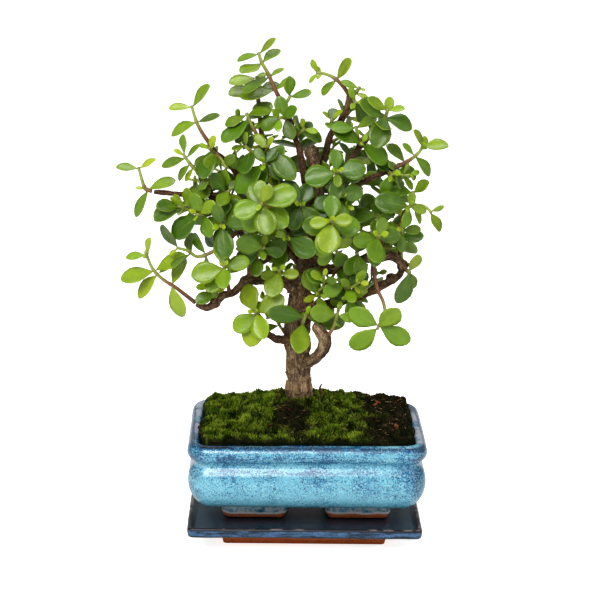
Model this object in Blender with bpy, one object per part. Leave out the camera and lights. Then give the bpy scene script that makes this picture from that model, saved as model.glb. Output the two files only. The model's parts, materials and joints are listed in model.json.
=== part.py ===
"""Dwarf jade bonsai in a glazed pot on its saucer. Blender 4.5, metres, Z up.

The origin is the middle of the saucer's flat foot, and the front of the tree looks towards -Y.
Lengths below are in millimetres and are turned into metres where a mesh is made.
"""

import math
import random

import bmesh
import bpy
from mathutils import Matrix, Vector
from mathutils.bvhtree import BVHTree

MM = 0.001
GAP = 0.3
COLLECTION = "dwarf_jade_bonsai"
CUTTERS = "cutters"
SEED = 11

# Saucer
SAUCER_HALF = (73.5, 56.0)
SAUCER_CORNER = 3.0
SAUCER_FLOOR = 15.0
# (height, inset from the rim's outside), from the flat foot up, over the rim and in to the floor
SAUCER_PROFILE = (
    (0.0, 22.0), (5.0, 21.0), (5.8, 18.5), (11.2, 1.6), (12.4, 0.0), (16.8, -0.3),
    (17.6, 0.8), (17.2, 2.2), (SAUCER_FLOOR, 4.2),
)

# Pot
POT_MIDDLE = (1.2, 0.0)
POT_HALF = (75.5, 55.5)
POT_CORNER = 15.0
POT_BASE = 27.0
POT_FLOOR = 35.0
RIM_TOP = 70.6
POT_WARP = 0.7
# (height, inset from the rim's widest line): two bulges with a waist, the rim, and the inside wall
POT_PROFILE = (
    (POT_BASE, 16.0), (28.2, 11.0), (31.5, 6.2), (37.0, 2.4), (44.0, 0.6), (50.5, 1.2),
    (54.5, 3.2), (57.0, 4.4), (59.2, 3.2), (61.4, 1.0), (64.5, 0.0), (67.6, 0.8),
    (69.8, 2.6), (RIM_TOP, 5.0), (69.8, 7.6), (67.5, 8.4), (POT_FLOOR, 12.0),
)
FOOT_HALF = (21.5, 8.5)
FOOT_CORNER = 6.0
FOOT_SPREAD = (33.0, 22.0)
DRAIN_SPREAD = 32.0
DRAIN_RADIUS = 6.0

# Mesh squares that keep the soil in over the drain holes
MESH_SIDE = 24.0
MESH_THICK = 1.0
MESH_CELLS = 5

# Soil and moss
SOIL_EDGE = 66.5
SOIL_MOUND = 12.5
MOUND_SPREAD = (46.0, 30.0)
MOSS_THICK = 8.6
MOSS_RELIEF = 1.1
SOIL_INSET = (9.2, 12.6)
MOSS_CELLS = (12, 8)
SOIL_CELLS = (12, 8)
GROUND_CORNER = 8.0

# Trunk
TRUNK_FOOT = 48.0
TRUNK_RADIUS = 8.8
TRUNK_SIDES = 10
TRUNK_STEP = 15.0
LIMB_SIDES = 6
LIMB_STEP = 12.0
CROWN_MIDDLE = Vector((0.0, 8.0, 215.0))
# Past this far to the side or above, shoots are young: their blades are slim and turn less
CROWN_REACH = 95.0
# The tree stood with its front to the light, so blades turn that way and up
LIGHT = Vector((0.0, -0.9, 0.5))

# Green stems: a leader on the wood, and its side sprigs
LEADER_RADIUS = 1.4
SPRIG_RADIUS = 1.15
STEM_TIP_RADIUS = 0.85
LEADER_SIDES = 6
SPRIG_SIDES = 4
STEM_STEP = 12.0

# Leaves
LEAF_ROOT = 1.0
LEAF_THICK = 1.5
THICK_PER_LENGTH = 0.03
# Bare stem below the lowest pair
STEM_FOOT = 2.5
LEAF_CLEARANCE = 0.4
# Two leaves whose middles lie further apart than this can't meet
LEAF_REACH = 34.0
# Levels between a blade's foot and its tip, fewer on a leaf shorter than this
LEAF_RINGS = 4
SMALL_RINGS = 3
SMALL_LEAF = 16.5
# Changes tried in turn where a leaf would cross something: turn, lean in degrees, and size
LEAF_TRIES = (
    (0, 0, 1.0), (0, 12, 1.0), (0, -12, 1.0), (15, 0, 1.0), (-15, 0, 1.0), (0, 25, 0.9),
    (0, -25, 0.9), (20, 20, 0.8), (-20, -20, 0.8), (30, 0, 0.75), (-30, 0, 0.75), (0, 0, 0.6),
)

# Woody limbs, one body with the trunk: points of the centre line, and a radius at each
LIMBS = {
    "trunk": (
        [
            (-4, 9, 85), (-4, 9, 98), (-5, 9, 117), (-6, 9, 133), (-5, 9, 150), (-2, 9, 163),
            (1, 9, 175), (4, 8, 189), (5, 8, 206), (6, 8, 222), (4, 8, 236), (2, 8, 247),
        ],
        [8.8, 8.6, 8.8, 8.8, 7, 6.4, 7, 5.4, 4.6, 4.2, 4, 4.6],
    ),
    "left": (
        [
            (-5, 9, 160), (-17, 4, 163), (-32, 0, 165), (-39, -2, 164), (-47, -4, 157), (-53, -5, 156),
            (-59, -6, 150), (-64, -7, 148), (-70, -8, 151),
        ],
        [4.6, 3.9, 3.6, 3.2, 2.6, 3, 2.6, 2.6, 2.1],
    ),
    "left_rise": (
        [
            (-35, 0, 165), (-35, -1, 175), (-28, 0, 177), (-19, 3, 184), (-12, 4, 193), (-13, 1, 207),
            (-15, -2, 220), (-18, -4, 229), (-24, -6, 243), (-29, -6, 251),
        ],
        [3.2, 3, 2.6, 2.5, 2.4, 2.3, 2.2, 2.1, 1.9, 1.7],
    ),
    "left_fan": (
        [
            (-36, 0, 170), (-38, -2, 185), (-44, -4, 200), (-52, -5, 211), (-60, -5, 219),
            (-70, -5, 220), (-86, -5, 221), (-97, -5, 222),
        ],
        [2.4, 2.2, 2.1, 2, 2, 1.9, 1.8, 1.8],
    ),
    "left_top": (
        [
            (-2, 9, 175), (-11, 12, 188), (-24, 12, 203), (-35, 8, 218), (-44, 2, 231), (-52, -2, 242),
            (-58, -4, 247),
        ],
        [3.2, 2.8, 2.4, 2.1, 1.9, 1.7, 1.6],
    ),
    "back_rise": (
        [
            (-1, 11, 185), (-8, 18, 199), (-18, 22, 216), (-26, 22, 235), (-30, 18, 254),
            (-31, 14, 268),
        ],
        [3, 2.6, 2.2, 1.9, 1.7, 1.5],
    ),
    "high": (
        [
            (4, 8, 197), (1, 4, 213), (-2, 0, 228), (-4, -2, 239), (-6, -3, 250), (-10, -3, 260),
            (-13, -3, 271), (-18, -3, 280),
        ],
        [3.2, 2.9, 2.5, 2.3, 2.1, 2, 1.9, 1.7],
    ),
    "high_right": (
        [
            (5, 8, 212), (7, 14, 227), (11, 15, 245), (15, 13, 259), (19, 11, 264), (23, 9, 272),
            (26, 8, 281),
        ],
        [2.8, 2.5, 2.3, 2.1, 2.2, 2.3, 2.7],
    ),
    "right_top": (
        [
            (4, 8, 199), (13, 7, 214), (18, 5, 227), (24, 1, 239), (28, -1, 246), (34, -3, 254),
            (39, -5, 261),
        ],
        [3.2, 3, 2.8, 2.3, 2.2, 2, 1.8],
    ),
    "right_reach": (
        [
            (3, 8, 189), (11, 8, 201), (19, 7, 215), (29, 3, 226), (39, 0, 231), (47, -2, 235),
            (53, -3, 238),
        ],
        [3.2, 2.9, 2.7, 2.4, 2.2, 2, 1.8],
    ),
    "right_upper": (
        [
            (1, 9, 172), (15, 5, 171), (24, 2, 174), (32, -1, 178), (40, -3, 181), (47, -4, 181),
            (53, -3, 182), (58, -1, 179), (61, 1, 175),
        ],
        [5, 3.8, 3.2, 3, 3.1, 3.2, 3, 2.8, 2.7],
    ),
    "right_lower": (
        [
            (-2, 9, 142), (10, 9, 146), (22, 9, 149), (31, 8, 152), (39, 8, 155), (46, 7, 159),
            (53, 5, 164), (59, 3, 168), (61, 1, 175),
        ],
        [4.4, 3.6, 3.2, 3, 3, 3.1, 2.8, 2.6, 2.4],
    ),
    "fork": (
        [
            (-4, 6, 107), (2, 2, 111), (7, -2, 115), (11, -4, 121), (12, -5, 128), (8, -5, 134),
        ],
        [4, 4.2, 4.2, 4.4, 4.4, 4.2],
    ),
    "low_left": (
        [
            (-8, 7, 120), (-13, 3, 125), (-19, 0, 126), (-25, -3, 130), (-31, -5, 132), (-31, -7, 136),
            (-28, -8, 141),
        ],
        [4, 3, 2.7, 2.3, 2.2, 1.7, 1.4],
    ),
    "back_left": (
        [
            (-2, 9, 170), (-11, 24, 178), (-22, 40, 184), (-33, 54, 189),
        ],
        [3.4, 2.6, 2, 1.6],
    ),
    "back_right": (
        [
            (1, 9, 175), (10, 26, 181), (19, 42, 184), (29, 56, 189),
        ],
        [3.4, 2.6, 2, 1.6],
    ),
    "back_high": (
        [
            (5, 8, 212), (3, 24, 220), (-1, 38, 228), (-4, 50, 237),
        ],
        [2.8, 2.3, 1.9, 1.5],
    ),
    "twig": (
        [
            (61, 1, 175), (67, -1, 177), (73, -2, 180),
        ],
        [1.3, 0.9, 0.7],
    ),
}

# Leafy sprays. Each is a leader and its side sprigs, and each of those has its centre line and its
# pairs of leaves: (distance from the tip, left length, right length, turn, left lean, right lean).
SPRAYS = {
    "spray_01": [
        (
            [
                (-60, -5, 251), (-66, -7, 259), (-70, -9, 267), (-73, -10, 277),
            ],
            [
                (0, 14, 18, 0, 74, 54), (10, 19, 15, -8, 96, 84),
            ],
        ),
    ],
    "spray_02": [
        (
            [
                (-19, -3, 282), (-22, -4, 288), (-26, -5, 297), (-30, -6, 304), (-32, -7, 310),
            ],
            [
                (0, 14, 14, 0, 92, 60), (6, 18, 15, 35, 80, 80), (16, 20, 11, 20, 85, 85),
                (25, 22, 13, -10, 78, 78),
            ],
        ),
    ],
    "spray_03": [
        (
            [
                (-31, 14, 270), (-32, 10, 278), (-32, 6, 286), (-33, 3, 294),
            ],
            [
                (0, 18, 7, 20, 85, 85), (4, 18, 11, 70, 80, 80), (10, 19, 15, 20, 85, 85),
                (17, 19, 16, 100, 80, 80),
            ],
        ),
    ],
    "spray_04": [
        (
            [
                (-17, -3, 278), (-14, -7, 280), (-12, -9, 284),
            ],
            [
                (0, 14, 14, 0, 35, 50),
            ],
        ),
    ],
    "spray_05": [
        (
            [
                (-13, -3, 269), (-15, -9, 270), (-17, -14, 271), (-19, -18, 271),
            ],
            [
                (0, 10, 10, 80, 40, 40), (4, 15, 14, 0, 75, 75), (9, 14, 14, 90, 85, 85),
            ],
        ),
    ],
    "spray_06": [
        (
            [
                (-9, -3, 258), (-6, -8, 261), (-3, -11, 264),
            ],
            [
                (0, 8, 9, 0, 45, 45), (4, 16, 16, 20, 78, 78),
            ],
        ),
    ],
    "spray_07": [
        (
            [
                (-30, -6, 252), (-32, -8, 258), (-36, -10, 266), (-39, -12, 273),
            ],
            [
                (0, 15, 15, 10, 90, 110), (3, 24, 11, 40, 100, 100), (11, 14, 15, 20, 90, 90),
            ],
        ),
    ],
    "spray_08": [
        (
            [
                (-25, -6, 243), (-32, -12, 247), (-37, -16, 251), (-40, -18, 254),
            ],
            [
                (0, 9, 10, 0, 45, 45), (5, 19, 16, 50, 75, 75),
            ],
        ),
    ],
    "spray_09": [
        (
            [
                (-27, -6, 247), (-26, -14, 251), (-26, -19, 254),
            ],
            [
                (0, 9, 8, 45, 35, 35), (3, 12, 26, -52, 95, 95),
            ],
        ),
    ],
    "spray_10": [
        (
            [
                (25, 8, 282), (21, 6, 288), (16, 4, 293), (10, 3, 296), (4, 2, 297),
            ],
            [
                (0, 8, 9, 0, 52, 52), (2.5, 6, 7, 60, 55, 55), (13, 13, 16, 0, 88, 72),
            ],
        ),
    ],
    "spray_11": [
        (
            [
                (28, 7, 282), (30, 4, 286), (31, 2, 288),
            ],
            [
                (0, 12, 4, 0, 85, 85), (5, 0, 9, 0, 80, 80),
            ],
        ),
        (
            [
                (28, 7, 282), (28, 1, 280), (29, -4, 279),
            ],
            [
                (0, 7, 7, 30, 40, 40), (2.5, 10, 16, -60, 95, 95),
            ],
        ),
    ],
    "spray_12": [
        (
            [
                (20, 11, 265), (16, 5, 265), (14, 1, 266), (14, 0, 269),
            ],
            [
                (0, 8, 9, 10, 45, 45), (3, 12, 13, 80, 75, 75),
            ],
        ),
    ],
    "spray_13": [
        (
            [
                (40, -5, 263), (44, -8, 268), (47, -11, 272), (48, -15, 277),
            ],
            [
                (0, 15, 11, 0, 65, 65), (4, 22, 12, 80, 120, 60), (7, 20, 19, 10, 85, 85),
                (13, 19, 13, 90, 80, 80),
            ],
        ),
    ],
    "spray_14": [
        (
            [
                (31, -3, 252), (30, -6, 259), (29, -8, 265),
            ],
            [
                (0, 16, 14, 10, 75, 75),
            ],
        ),
        (
            [
                (31, -4, 253), (32, -10, 254), (33, -13, 256),
            ],
            [
                (0, 6, 6, 80, 35, 35), (2, 19, 20, -15, 95, 95),
            ],
        ),
    ],
    "spray_15": [
        (
            [
                (55, -3, 238), (60, -5, 242), (64, -7, 245), (68, -9, 249), (71, -10, 254),
            ],
            [
                (0, 12, 16, 0, 60, 52), (2, 10, 10, 90, 40, 40), (8, 11, 16, 0, 95, 95),
                (16, 16, 13, 0, 95, 95), (23, 13, 13, 70, 90, 90),
            ],
        ),
    ],
    "spray_16": [
        (
            [
                (50, -2, 236), (51, -9, 236), (52, -14, 236),
            ],
            [
                (0, 7, 7, 45, 35, 35), (3, 14, 13, 75, 95, 95), (6, 13, 12, -30, 95, 95),
            ],
        ),
    ],
    "spray_17": [
        (
            [
                (60, 1, 180), (59, 0, 189), (58, -3, 200), (60, -6, 210), (64, -8, 215), (70, -9, 216),
                (74, -11, 215), (77, -13, 212),
            ],
            [
                (0, 9, 14, 0, 62, 8), (12, 0, 12, 0, 82, 82), (40, 0, 15, 0, 85, 85),
            ],
        ),
        (
            [
                (66, -8, 215), (66, -10, 221), (65, -11, 225),
            ],
            [
                (0, 18, 13, -20, 60, 60),
            ],
        ),
        (
            [
                (62, -7, 212), (63, -14, 216), (63, -19, 217),
            ],
            [
                (0, 7, 7, 60, 35, 35), (3, 22, 11, -8, 95, 95), (5, 13, 10, 80, 90, 90),
            ],
        ),
        (
            [
                (58, -2, 196), (59, -9, 199), (59, -13, 202),
            ],
            [
                (0, 7, 7, 45, 35, 35), (3, 13, 12, 10, 90, 90), (5, 13, 9, 85, 95, 95),
            ],
        ),
    ],
    "spray_18": [
        (
            [
                (42, -6, 179), (42, -9, 174), (43, -10, 168), (45, -12, 161), (48, -14, 155),
                (49, -17, 149), (46, -24, 144), (44, -32, 142),
            ],
            [
                (0, 23, 20, 32, 88, 88), (2.5, 21, 22, -45, 90, 90),
            ],
        ),
    ],
    "spray_19": [
        (
            [
                (62, 1, 173), (64, -2, 172), (65, -5, 172),
            ],
            [
                (0, 14, 22, -85, 70, 98), (3, 13, 0, 130, 85, 85),
            ],
        ),
    ],
    "spray_20": [
        (
            [
                (40, -4, 182), (41, -14, 190), (43, -24, 197), (44, -30, 201),
            ],
            [
                (0, 7, 7, 0, 35, 35), (3, 19, 13, 85, 80, 80), (6, 16, 15, 20, 85, 85),
                (13, 16, 16, 95, 85, 85),
            ],
        ),
    ],
    "spray_21": [
        (
            [
                (32, -2, 180), (31, -10, 185), (31, -14, 186),
            ],
            [
                (0, 15, 14, 105, 85, 85), (2.5, 15, 12, 65, 90, 90),
            ],
        ),
    ],
    "spray_22": [
        (
            [
                (48, -2, 182), (47, 2, 191), (45, 2, 200), (44, 0, 208),
            ],
            [
                (0, 21, 11, 0, 88, 88), (3, 14, 13, 90, 60, 60),
            ],
        ),
    ],
    "spray_23": [
        (
            [
                (27, 7, 153), (27, -2, 155), (26, -8, 156),
            ],
            [
                (0, 6, 6, 0, 30, 30), (2.5, 15, 15, 100, 95, 95), (5, 13, 10, 10, 95, 95),
            ],
        ),
        (
            [
                (27, -1, 155), (25, -7, 161), (24, -11, 165),
            ],
            [
                (0, 15, 16, 15, 80, 80), (3, 13, 13, 100, 80, 80),
            ],
        ),
    ],
    "spray_24": [
        (
            [
                (9, 7, 195), (12, -4, 197), (14, -20, 203), (14, -36, 210), (13, -44, 213),
            ],
            [
                (0, 6, 6, 20, 30, 30), (2.5, 13, 13, 0, 85, 85), (6, 20, 16, 85, 85, 85),
                (10, 20, 13, 70, 95, 95), (18, 18, 18, 0, 85, 85), (27, 19, 16, 80, 90, 90),
            ],
        ),
        (
            [
                (12, -8, 195), (15, -14, 190), (18, -19, 188),
            ],
            [
                (0, 15, 16, 0, 85, 85), (3, 14, 13, 90, 80, 80),
            ],
        ),
    ],
    "spray_25": [
        (
            [
                (16, 5, 225), (16, -6, 230), (17, -18, 236), (17, -30, 241),
            ],
            [
                (0, 6, 7, 0, 30, 30), (2.5, 10, 14, 95, 80, 80), (5, 20, 18, 12, 88, 88),
                (9, 16, 13, 85, 95, 95), (17, 18, 18, 15, 85, 85),
            ],
        ),
    ],
    "spray_26": [
        (
            [
                (16, 7, 212), (18, -6, 218), (18, -16, 222), (18, -22, 224),
            ],
            [
                (0, 7, 7, 0, 35, 35), (3, 16, 16, 20, 85, 85), (7, 16, 15, 100, 85, 85),
                (15, 15, 15, 20, 85, 85),
            ],
        ),
    ],
    "spray_27": [
        (
            [
                (-22, -5, 238), (-24, -12, 240), (-27, -20, 243), (-28, -25, 244),
            ],
            [
                (0, 7, 7, 80, 30, 30), (2.5, 26, 12, 38, 95, 95), (6, 15, 14, -50, 95, 95),
                (12, 15, 15, 40, 85, 85),
            ],
        ),
    ],
    "spray_28": [
        (
            [
                (-14, 0, 212), (-18, -12, 214), (-23, -28, 217), (-28, -42, 221), (-29, -50, 224),
            ],
            [
                (0, 6, 13, 55, 55, 55), (2.5, 18, 22, 12, 88, 88), (5, 19, 15, 98, 88, 88),
                (9, 20, 13, 35, 95, 95), (17, 18, 18, 120, 85, 85), (26, 16, 16, 30, 85, 85),
            ],
        ),
    ],
    "spray_29": [
        (
            [
                (2, 8, 206), (-1, -6, 210), (-4, -18, 216), (-5, -26, 219),
            ],
            [
                (0, 6, 6, 0, 30, 30), (2.5, 19, 15, -50, 90, 90), (6, 16, 15, 60, 88, 88),
                (13, 16, 16, -20, 85, 85),
            ],
        ),
    ],
    "spray_30": [
        (
            [
                (-31, -3, 177), (-32, -12, 182), (-29, -20, 189), (-27, -24, 191),
            ],
            [
                (0, 19, 13, 10, 88, 88), (3, 9, 9, 100, 60, 60), (8, 16, 15, 40, 95, 95),
                (13, 15, 15, 100, 85, 85),
            ],
        ),
    ],
    "spray_31": [
        (
            [
                (-12, 3, 194), (-12, -10, 196), (-12, -20, 197), (-13, -28, 198),
            ],
            [
                (0, 6, 6, 0, 20, 20), (4, 8, 20, -35, 85, 85), (12, 16, 16, 45, 85, 85),
            ],
        ),
    ],
    "spray_32": [
        (
            [
                (-58, -6, 220), (-63, -10, 228), (-68, -13, 235), (-74, -15, 242), (-78, -16, 248),
            ],
            [
                (0, 7, 13, 0, 30, 30), (2.5, 16, 12, 0, 75, 75), (7, 13, 0, 0, 110, 110),
                (10, 10, 12, 30, 100, 100), (20, 15, 15, 80, 85, 85), (28, 15, 15, 0, 85, 85),
            ],
        ),
        (
            [
                (-59, -7, 221), (-53, -15, 223), (-49, -20, 226),
            ],
            [
                (0, 14, 15, 80, 80, 80), (3, 16, 14, 0, 85, 85),
            ],
        ),
    ],
    "spray_33": [
        (
            [
                (-55, -3, 244), (-59, -10, 248), (-62, -15, 252),
            ],
            [
                (0, 7, 7, -30, 50, 50), (2, 21, 10, 62, 92, 92),
            ],
        ),
        (
            [
                (-58, -9, 248), (-54, -15, 244), (-51, -20, 240),
            ],
            [
                (0, 13, 14, 20, 80, 80), (4, 15, 14, 110, 85, 85),
            ],
        ),
    ],
    "spray_34": [
        (
            [
                (-98, -5, 223), (-102, -6, 224), (-104, -8, 230), (-106, -9, 238),
            ],
            [
                (0, 14, 12, 0, 68, 68), (14, 6, 0, 0, 60, 60), (16, 19, 18, 0, 90, 150),
            ],
        ),
    ],
    "spray_35": [
        (
            [
                (-60, -6, 217), (-65, -10, 214), (-71, -14, 212), (-77, -18, 214), (-81, -20, 216),
            ],
            [
                (0, 15, 9, 0, 25, 25), (2, 19, 21, 0, 42, 108), (4, 11, 12, 80, 60, 60),
                (9, 13, 14, 20, 80, 80), (16, 15, 15, 90, 85, 85),
            ],
        ),
    ],
    "spray_36": [
        (
            [
                (-56, -6, 215), (-61, -16, 212), (-65, -26, 212), (-69, -32, 213),
            ],
            [
                (0, 7, 7, 80, 30, 30), (2.5, 25, 13, 0, 90, 90), (7, 15, 15, 80, 85, 85),
                (16, 18, 16, 0, 85, 85),
            ],
        ),
    ],
    "spray_37": [
        (
            [
                (-45, -6, 197), (-51, -14, 192), (-60, -16, 186), (-69, -16, 183), (-75, -17, 187),
                (-82, -18, 189),
            ],
            [
                (0, 7, 18, 0, 50, 50), (9, 18, 15, 50, 70, 70), (19, 15, 15, 0, 80, 80),
                (28, 18, 18, 50, 85, 85),
            ],
        ),
    ],
    "spray_38": [
        (
            [
                (-47, -5, 204), (-49, -18, 206), (-53, -32, 207), (-54, -38, 207),
            ],
            [
                (0, 7, 6, 0, 30, 30), (2.5, 21, 14, 92, 75, 75), (6, 16, 16, 0, 90, 90),
                (15, 16, 16, 60, 85, 85),
            ],
        ),
    ],
    "spray_39": [
        (
            [
                (-49, -6, 159), (-50, -16, 166), (-51, -28, 175), (-52, -38, 183),
            ],
            [
                (0, 4, 6, 0, 30, 30), (2, 16, 18, 90, 78, 78), (4, 21, 16, 12, 88, 88),
                (13, 16, 16, 40, 85, 85),
            ],
        ),
    ],
    "spray_40": [
        (
            [
                (-56, -6, 155), (-59, -10, 160), (-62, -13, 164),
            ],
            [
                (0, 9, 10, 0, 45, 45), (4, 11, 11, 90, 70, 70), (8, 14, 9, 0, 85, 85),
            ],
        ),
    ],
    "spray_41": [
        (
            [
                (-71, -8, 152), (-76, -9, 156), (-83, -11, 162), (-91, -14, 168), (-97, -16, 175),
                (-101, -18, 185),
            ],
            [
                (0, 13, 12, 0, 75, 30), (2, 7, 7, 80, 50, 50), (12, 22, 22, 0, 62, 105),
                (15, 20, 12, 0, 104, 95), (27, 22, 19, 20, 140, 80),
            ],
        ),
    ],
    "spray_42": [
        (
            [
                (-29, -9, 142), (-31, -14, 146), (-33, -20, 149),
            ],
            [
                (0, 6, 6, 0, 30, 30), (2, 18, 20, 100, 85, 85), (4.5, 18, 20, 25, 88, 88),
                (7, 21, 10, 62, 105, 105),
            ],
        ),
    ],
    "spray_43": [
        (
            [
                (-15, 3, 165), (-17, -6, 169), (-18, -14, 175),
            ],
            [
                (0, 6, 7, 0, 35, 35), (2.5, 18, 15, 75, 90, 90), (6, 12, 12, 0, 85, 85),
            ],
        ),
    ],
    "spray_44": [
        (
            [
                (-4, 9, 129), (-3, -3, 134), (-2, -8, 140), (0, -12, 146),
            ],
            [
                (0, 6, 6, 80, 30, 30), (2, 29, 28, 24, 88, 88), (7.5, 23, 9, 85, 95, 95),
            ],
        ),
    ],
    "spray_45": [
        (
            [
                (0, 9, 153), (5, 0, 155), (8, -8, 157),
            ],
            [
                (0, 6, 6, 0, 30, 30), (2, 18, 12, -45, 90, 90), (4, 9, 14, 35, 90, 90),
            ],
        ),
        (
            [
                (5, -1, 155), (9, -6, 161), (12, -9, 165),
            ],
            [
                (0, 15, 16, 10, 80, 80),
            ],
        ),
    ],
    "spray_46": [
        (
            [
                (13, -7, 128), (14, -8, 131), (17, -8, 136), (19, -9, 143), (20, -10, 148),
            ],
            [
                (0, 7, 7, 80, 30, 30), (2.5, 18, 12, 10, 92, 92), (6, 11, 14, 90, 85, 85),
            ],
        ),
    ],
    "spray_47": [
        (
            [
                (-34, 55, 190), (-37, 62, 195), (-40, 68, 201),
            ],
            [
                (0, 10, 10, 20, 35, 35), (4, 18, 18, 110, 70, 70), (9, 20, 20, 20, 85, 85),
            ],
        ),
        (
            [
                (-34, 55, 190), (-40, 60, 186), (-46, 64, 184),
            ],
            [
                (0, 10, 10, 20, 35, 35), (4, 16, 16, 110, 70, 70), (9, 19, 19, 20, 85, 85),
            ],
        ),
    ],
    "spray_48": [
        (
            [
                (30, 57, 190), (33, 63, 196), (36, 68, 202),
            ],
            [
                (0, 10, 10, 20, 35, 35), (4, 18, 18, 110, 70, 70), (9, 20, 20, 20, 85, 85),
            ],
        ),
        (
            [
                (30, 57, 190), (35, 60, 186), (41, 64, 183),
            ],
            [
                (0, 10, 10, 20, 35, 35), (4, 16, 16, 110, 70, 70), (9, 19, 19, 20, 85, 85),
            ],
        ),
    ],
    "spray_49": [
        (
            [
                (-4, 51, 238), (-4, 56, 243), (-5, 60, 249),
            ],
            [
                (0, 10, 10, 20, 35, 35), (4, 18, 18, 110, 70, 70), (9, 20, 20, 20, 82, 82),
                (14, 20, 20, 110, 88, 88),
            ],
        ),
    ],
    "spray_50": [
        (
            [
                (-37, 10, 219), (-41, 24, 221), (-45, 34, 224), (-48, 40, 229),
            ],
            [
                (0, 10, 10, 20, 35, 35), (4, 18, 18, 110, 70, 70), (9, 20, 20, 20, 82, 82),
                (16, 20, 20, 110, 88, 88),
            ],
        ),
    ],
    "spray_51": [
        (
            [
                (19, 7, 227), (23, 20, 229), (27, 32, 232), (30, 38, 236),
            ],
            [
                (0, 10, 10, 20, 35, 35), (4, 18, 18, 110, 70, 70), (9, 20, 20, 20, 82, 82),
                (16, 20, 20, 110, 88, 88),
            ],
        ),
    ],
    "spray_52": [
        (
            [
                (54, -1, 181), (54, 12, 183), (54, 24, 185), (55, 32, 188),
            ],
            [
                (0, 10, 10, 20, 35, 35), (4, 18, 18, 110, 70, 70), (9, 19, 19, 20, 85, 85),
            ],
        ),
    ],
    "spray_53": [
        (
            [
                (-54, 0, 211), (-61, 16, 210), (-67, 28, 208), (-71, 36, 209),
            ],
            [
                (0, 10, 10, 20, 35, 35), (4, 18, 18, 110, 70, 70), (9, 20, 20, 20, 85, 85),
            ],
        ),
    ],
}


def clear_scene():
    for obj in list(bpy.data.objects):
        bpy.data.objects.remove(obj, do_unlink=True)


def new_collection(name, parent):
    collection = bpy.data.collections.new(name)
    parent.children.link(collection)
    return collection


def material(name, colour, roughness, metallic=0.0):
    made = bpy.data.materials.new(name)
    made.use_nodes = True
    shader = made.node_tree.nodes["Principled BSDF"]
    shader.inputs["Base Color"].default_value = (*colour, 1.0)
    shader.inputs["Roughness"].default_value = roughness
    shader.inputs["Metallic"].default_value = metallic
    made.diffuse_color = (*colour, 1.0)
    return made


def object_from_bmesh(name, bm, collection, look=None):
    """A mesh object from a bmesh that is in millimetres."""
    bmesh.ops.recalc_face_normals(bm, faces=bm.faces)
    bmesh.ops.scale(bm, vec=(MM, MM, MM), verts=bm.verts)
    mesh = bpy.data.meshes.new(name)
    bm.to_mesh(mesh)
    bm.free()
    obj = bpy.data.objects.new(name, mesh)
    collection.objects.link(obj)
    if look:
        mesh.materials.append(look)
    return obj


def apply_boolean(obj, operation, collection):
    """Joins every object of the collection to obj, or cuts it away, and removes those objects."""
    modifier = obj.modifiers.new("shape", "BOOLEAN")
    modifier.operation = operation
    modifier.solver = "EXACT"
    modifier.operand_type = "COLLECTION"
    modifier.collection = collection
    graph = bpy.context.evaluated_depsgraph_get()
    made = bpy.data.meshes.new_from_object(obj.evaluated_get(graph))
    obj.modifiers.clear()
    made.name = obj.name
    old, obj.data = obj.data, made
    bpy.data.meshes.remove(old)
    for other in list(collection.objects):
        bpy.data.objects.remove(other, do_unlink=True)


def rounded_outline(half_x, half_y, radius, steps=3):
    """The points of a rounded rectangle, anticlockwise, each corner an arc."""
    points = []
    for corner, (side_x, side_y) in enumerate(((1, 1), (-1, 1), (-1, -1), (1, -1))):
        for step in range(steps + 1):
            angle = math.radians(90 * (corner + step / steps))
            x = side_x * (half_x - radius) + radius * math.cos(angle)
            y = side_y * (half_y - radius) + radius * math.sin(angle)
            points.append((x, y))
    return points


def loft(bm, levels):
    """Bridges closed loops of points, and closes the first and the last with a face."""
    loops = [[bm.verts.new(point) for point in level] for level in levels]
    edges = [
        [bm.edges.new((loop[i - 1], loop[i])) for i in range(len(loop))] for loop in loops
    ]
    for below, above in zip(edges, edges[1:]):
        bmesh.ops.bridge_loops(bm, edges=below + above)
    bmesh.ops.contextual_create(bm, geom=edges[0])
    bmesh.ops.contextual_create(bm, geom=edges[-1])


def inset_levels(half, corner, profile, middle=(0.0, 0.0)):
    """The loops of a rounded rectangle drawn in or out by each inset of a profile."""
    levels = []
    for height, inset in profile:
        outline = rounded_outline(half[0] - inset, half[1] - inset, max(2.0, corner - inset))
        levels.append([(x + middle[0], y + middle[1], height) for x, y in outline])
    return levels


def make_saucer(collection):
    bm = bmesh.new()
    loft(bm, inset_levels(SAUCER_HALF, SAUCER_CORNER, SAUCER_PROFILE))
    glaze = material("saucer_glaze", (0.012, 0.022, 0.07), 0.2)
    return object_from_bmesh("saucer", bm, collection, glaze)


def warp_pot(bm):
    """The thrown pot's slight twist, nothing at its base and most at the rim's corners."""
    for vert in bm.verts:
        across = (vert.co.x - POT_MIDDLE[0]) / POT_HALF[0]
        along = (vert.co.y - POT_MIDDLE[1]) / POT_HALF[1]
        rise = max(0.0, vert.co.z - POT_FLOOR) / (RIM_TOP - POT_FLOOR)
        vert.co.z -= POT_WARP * across * along * rise


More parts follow.
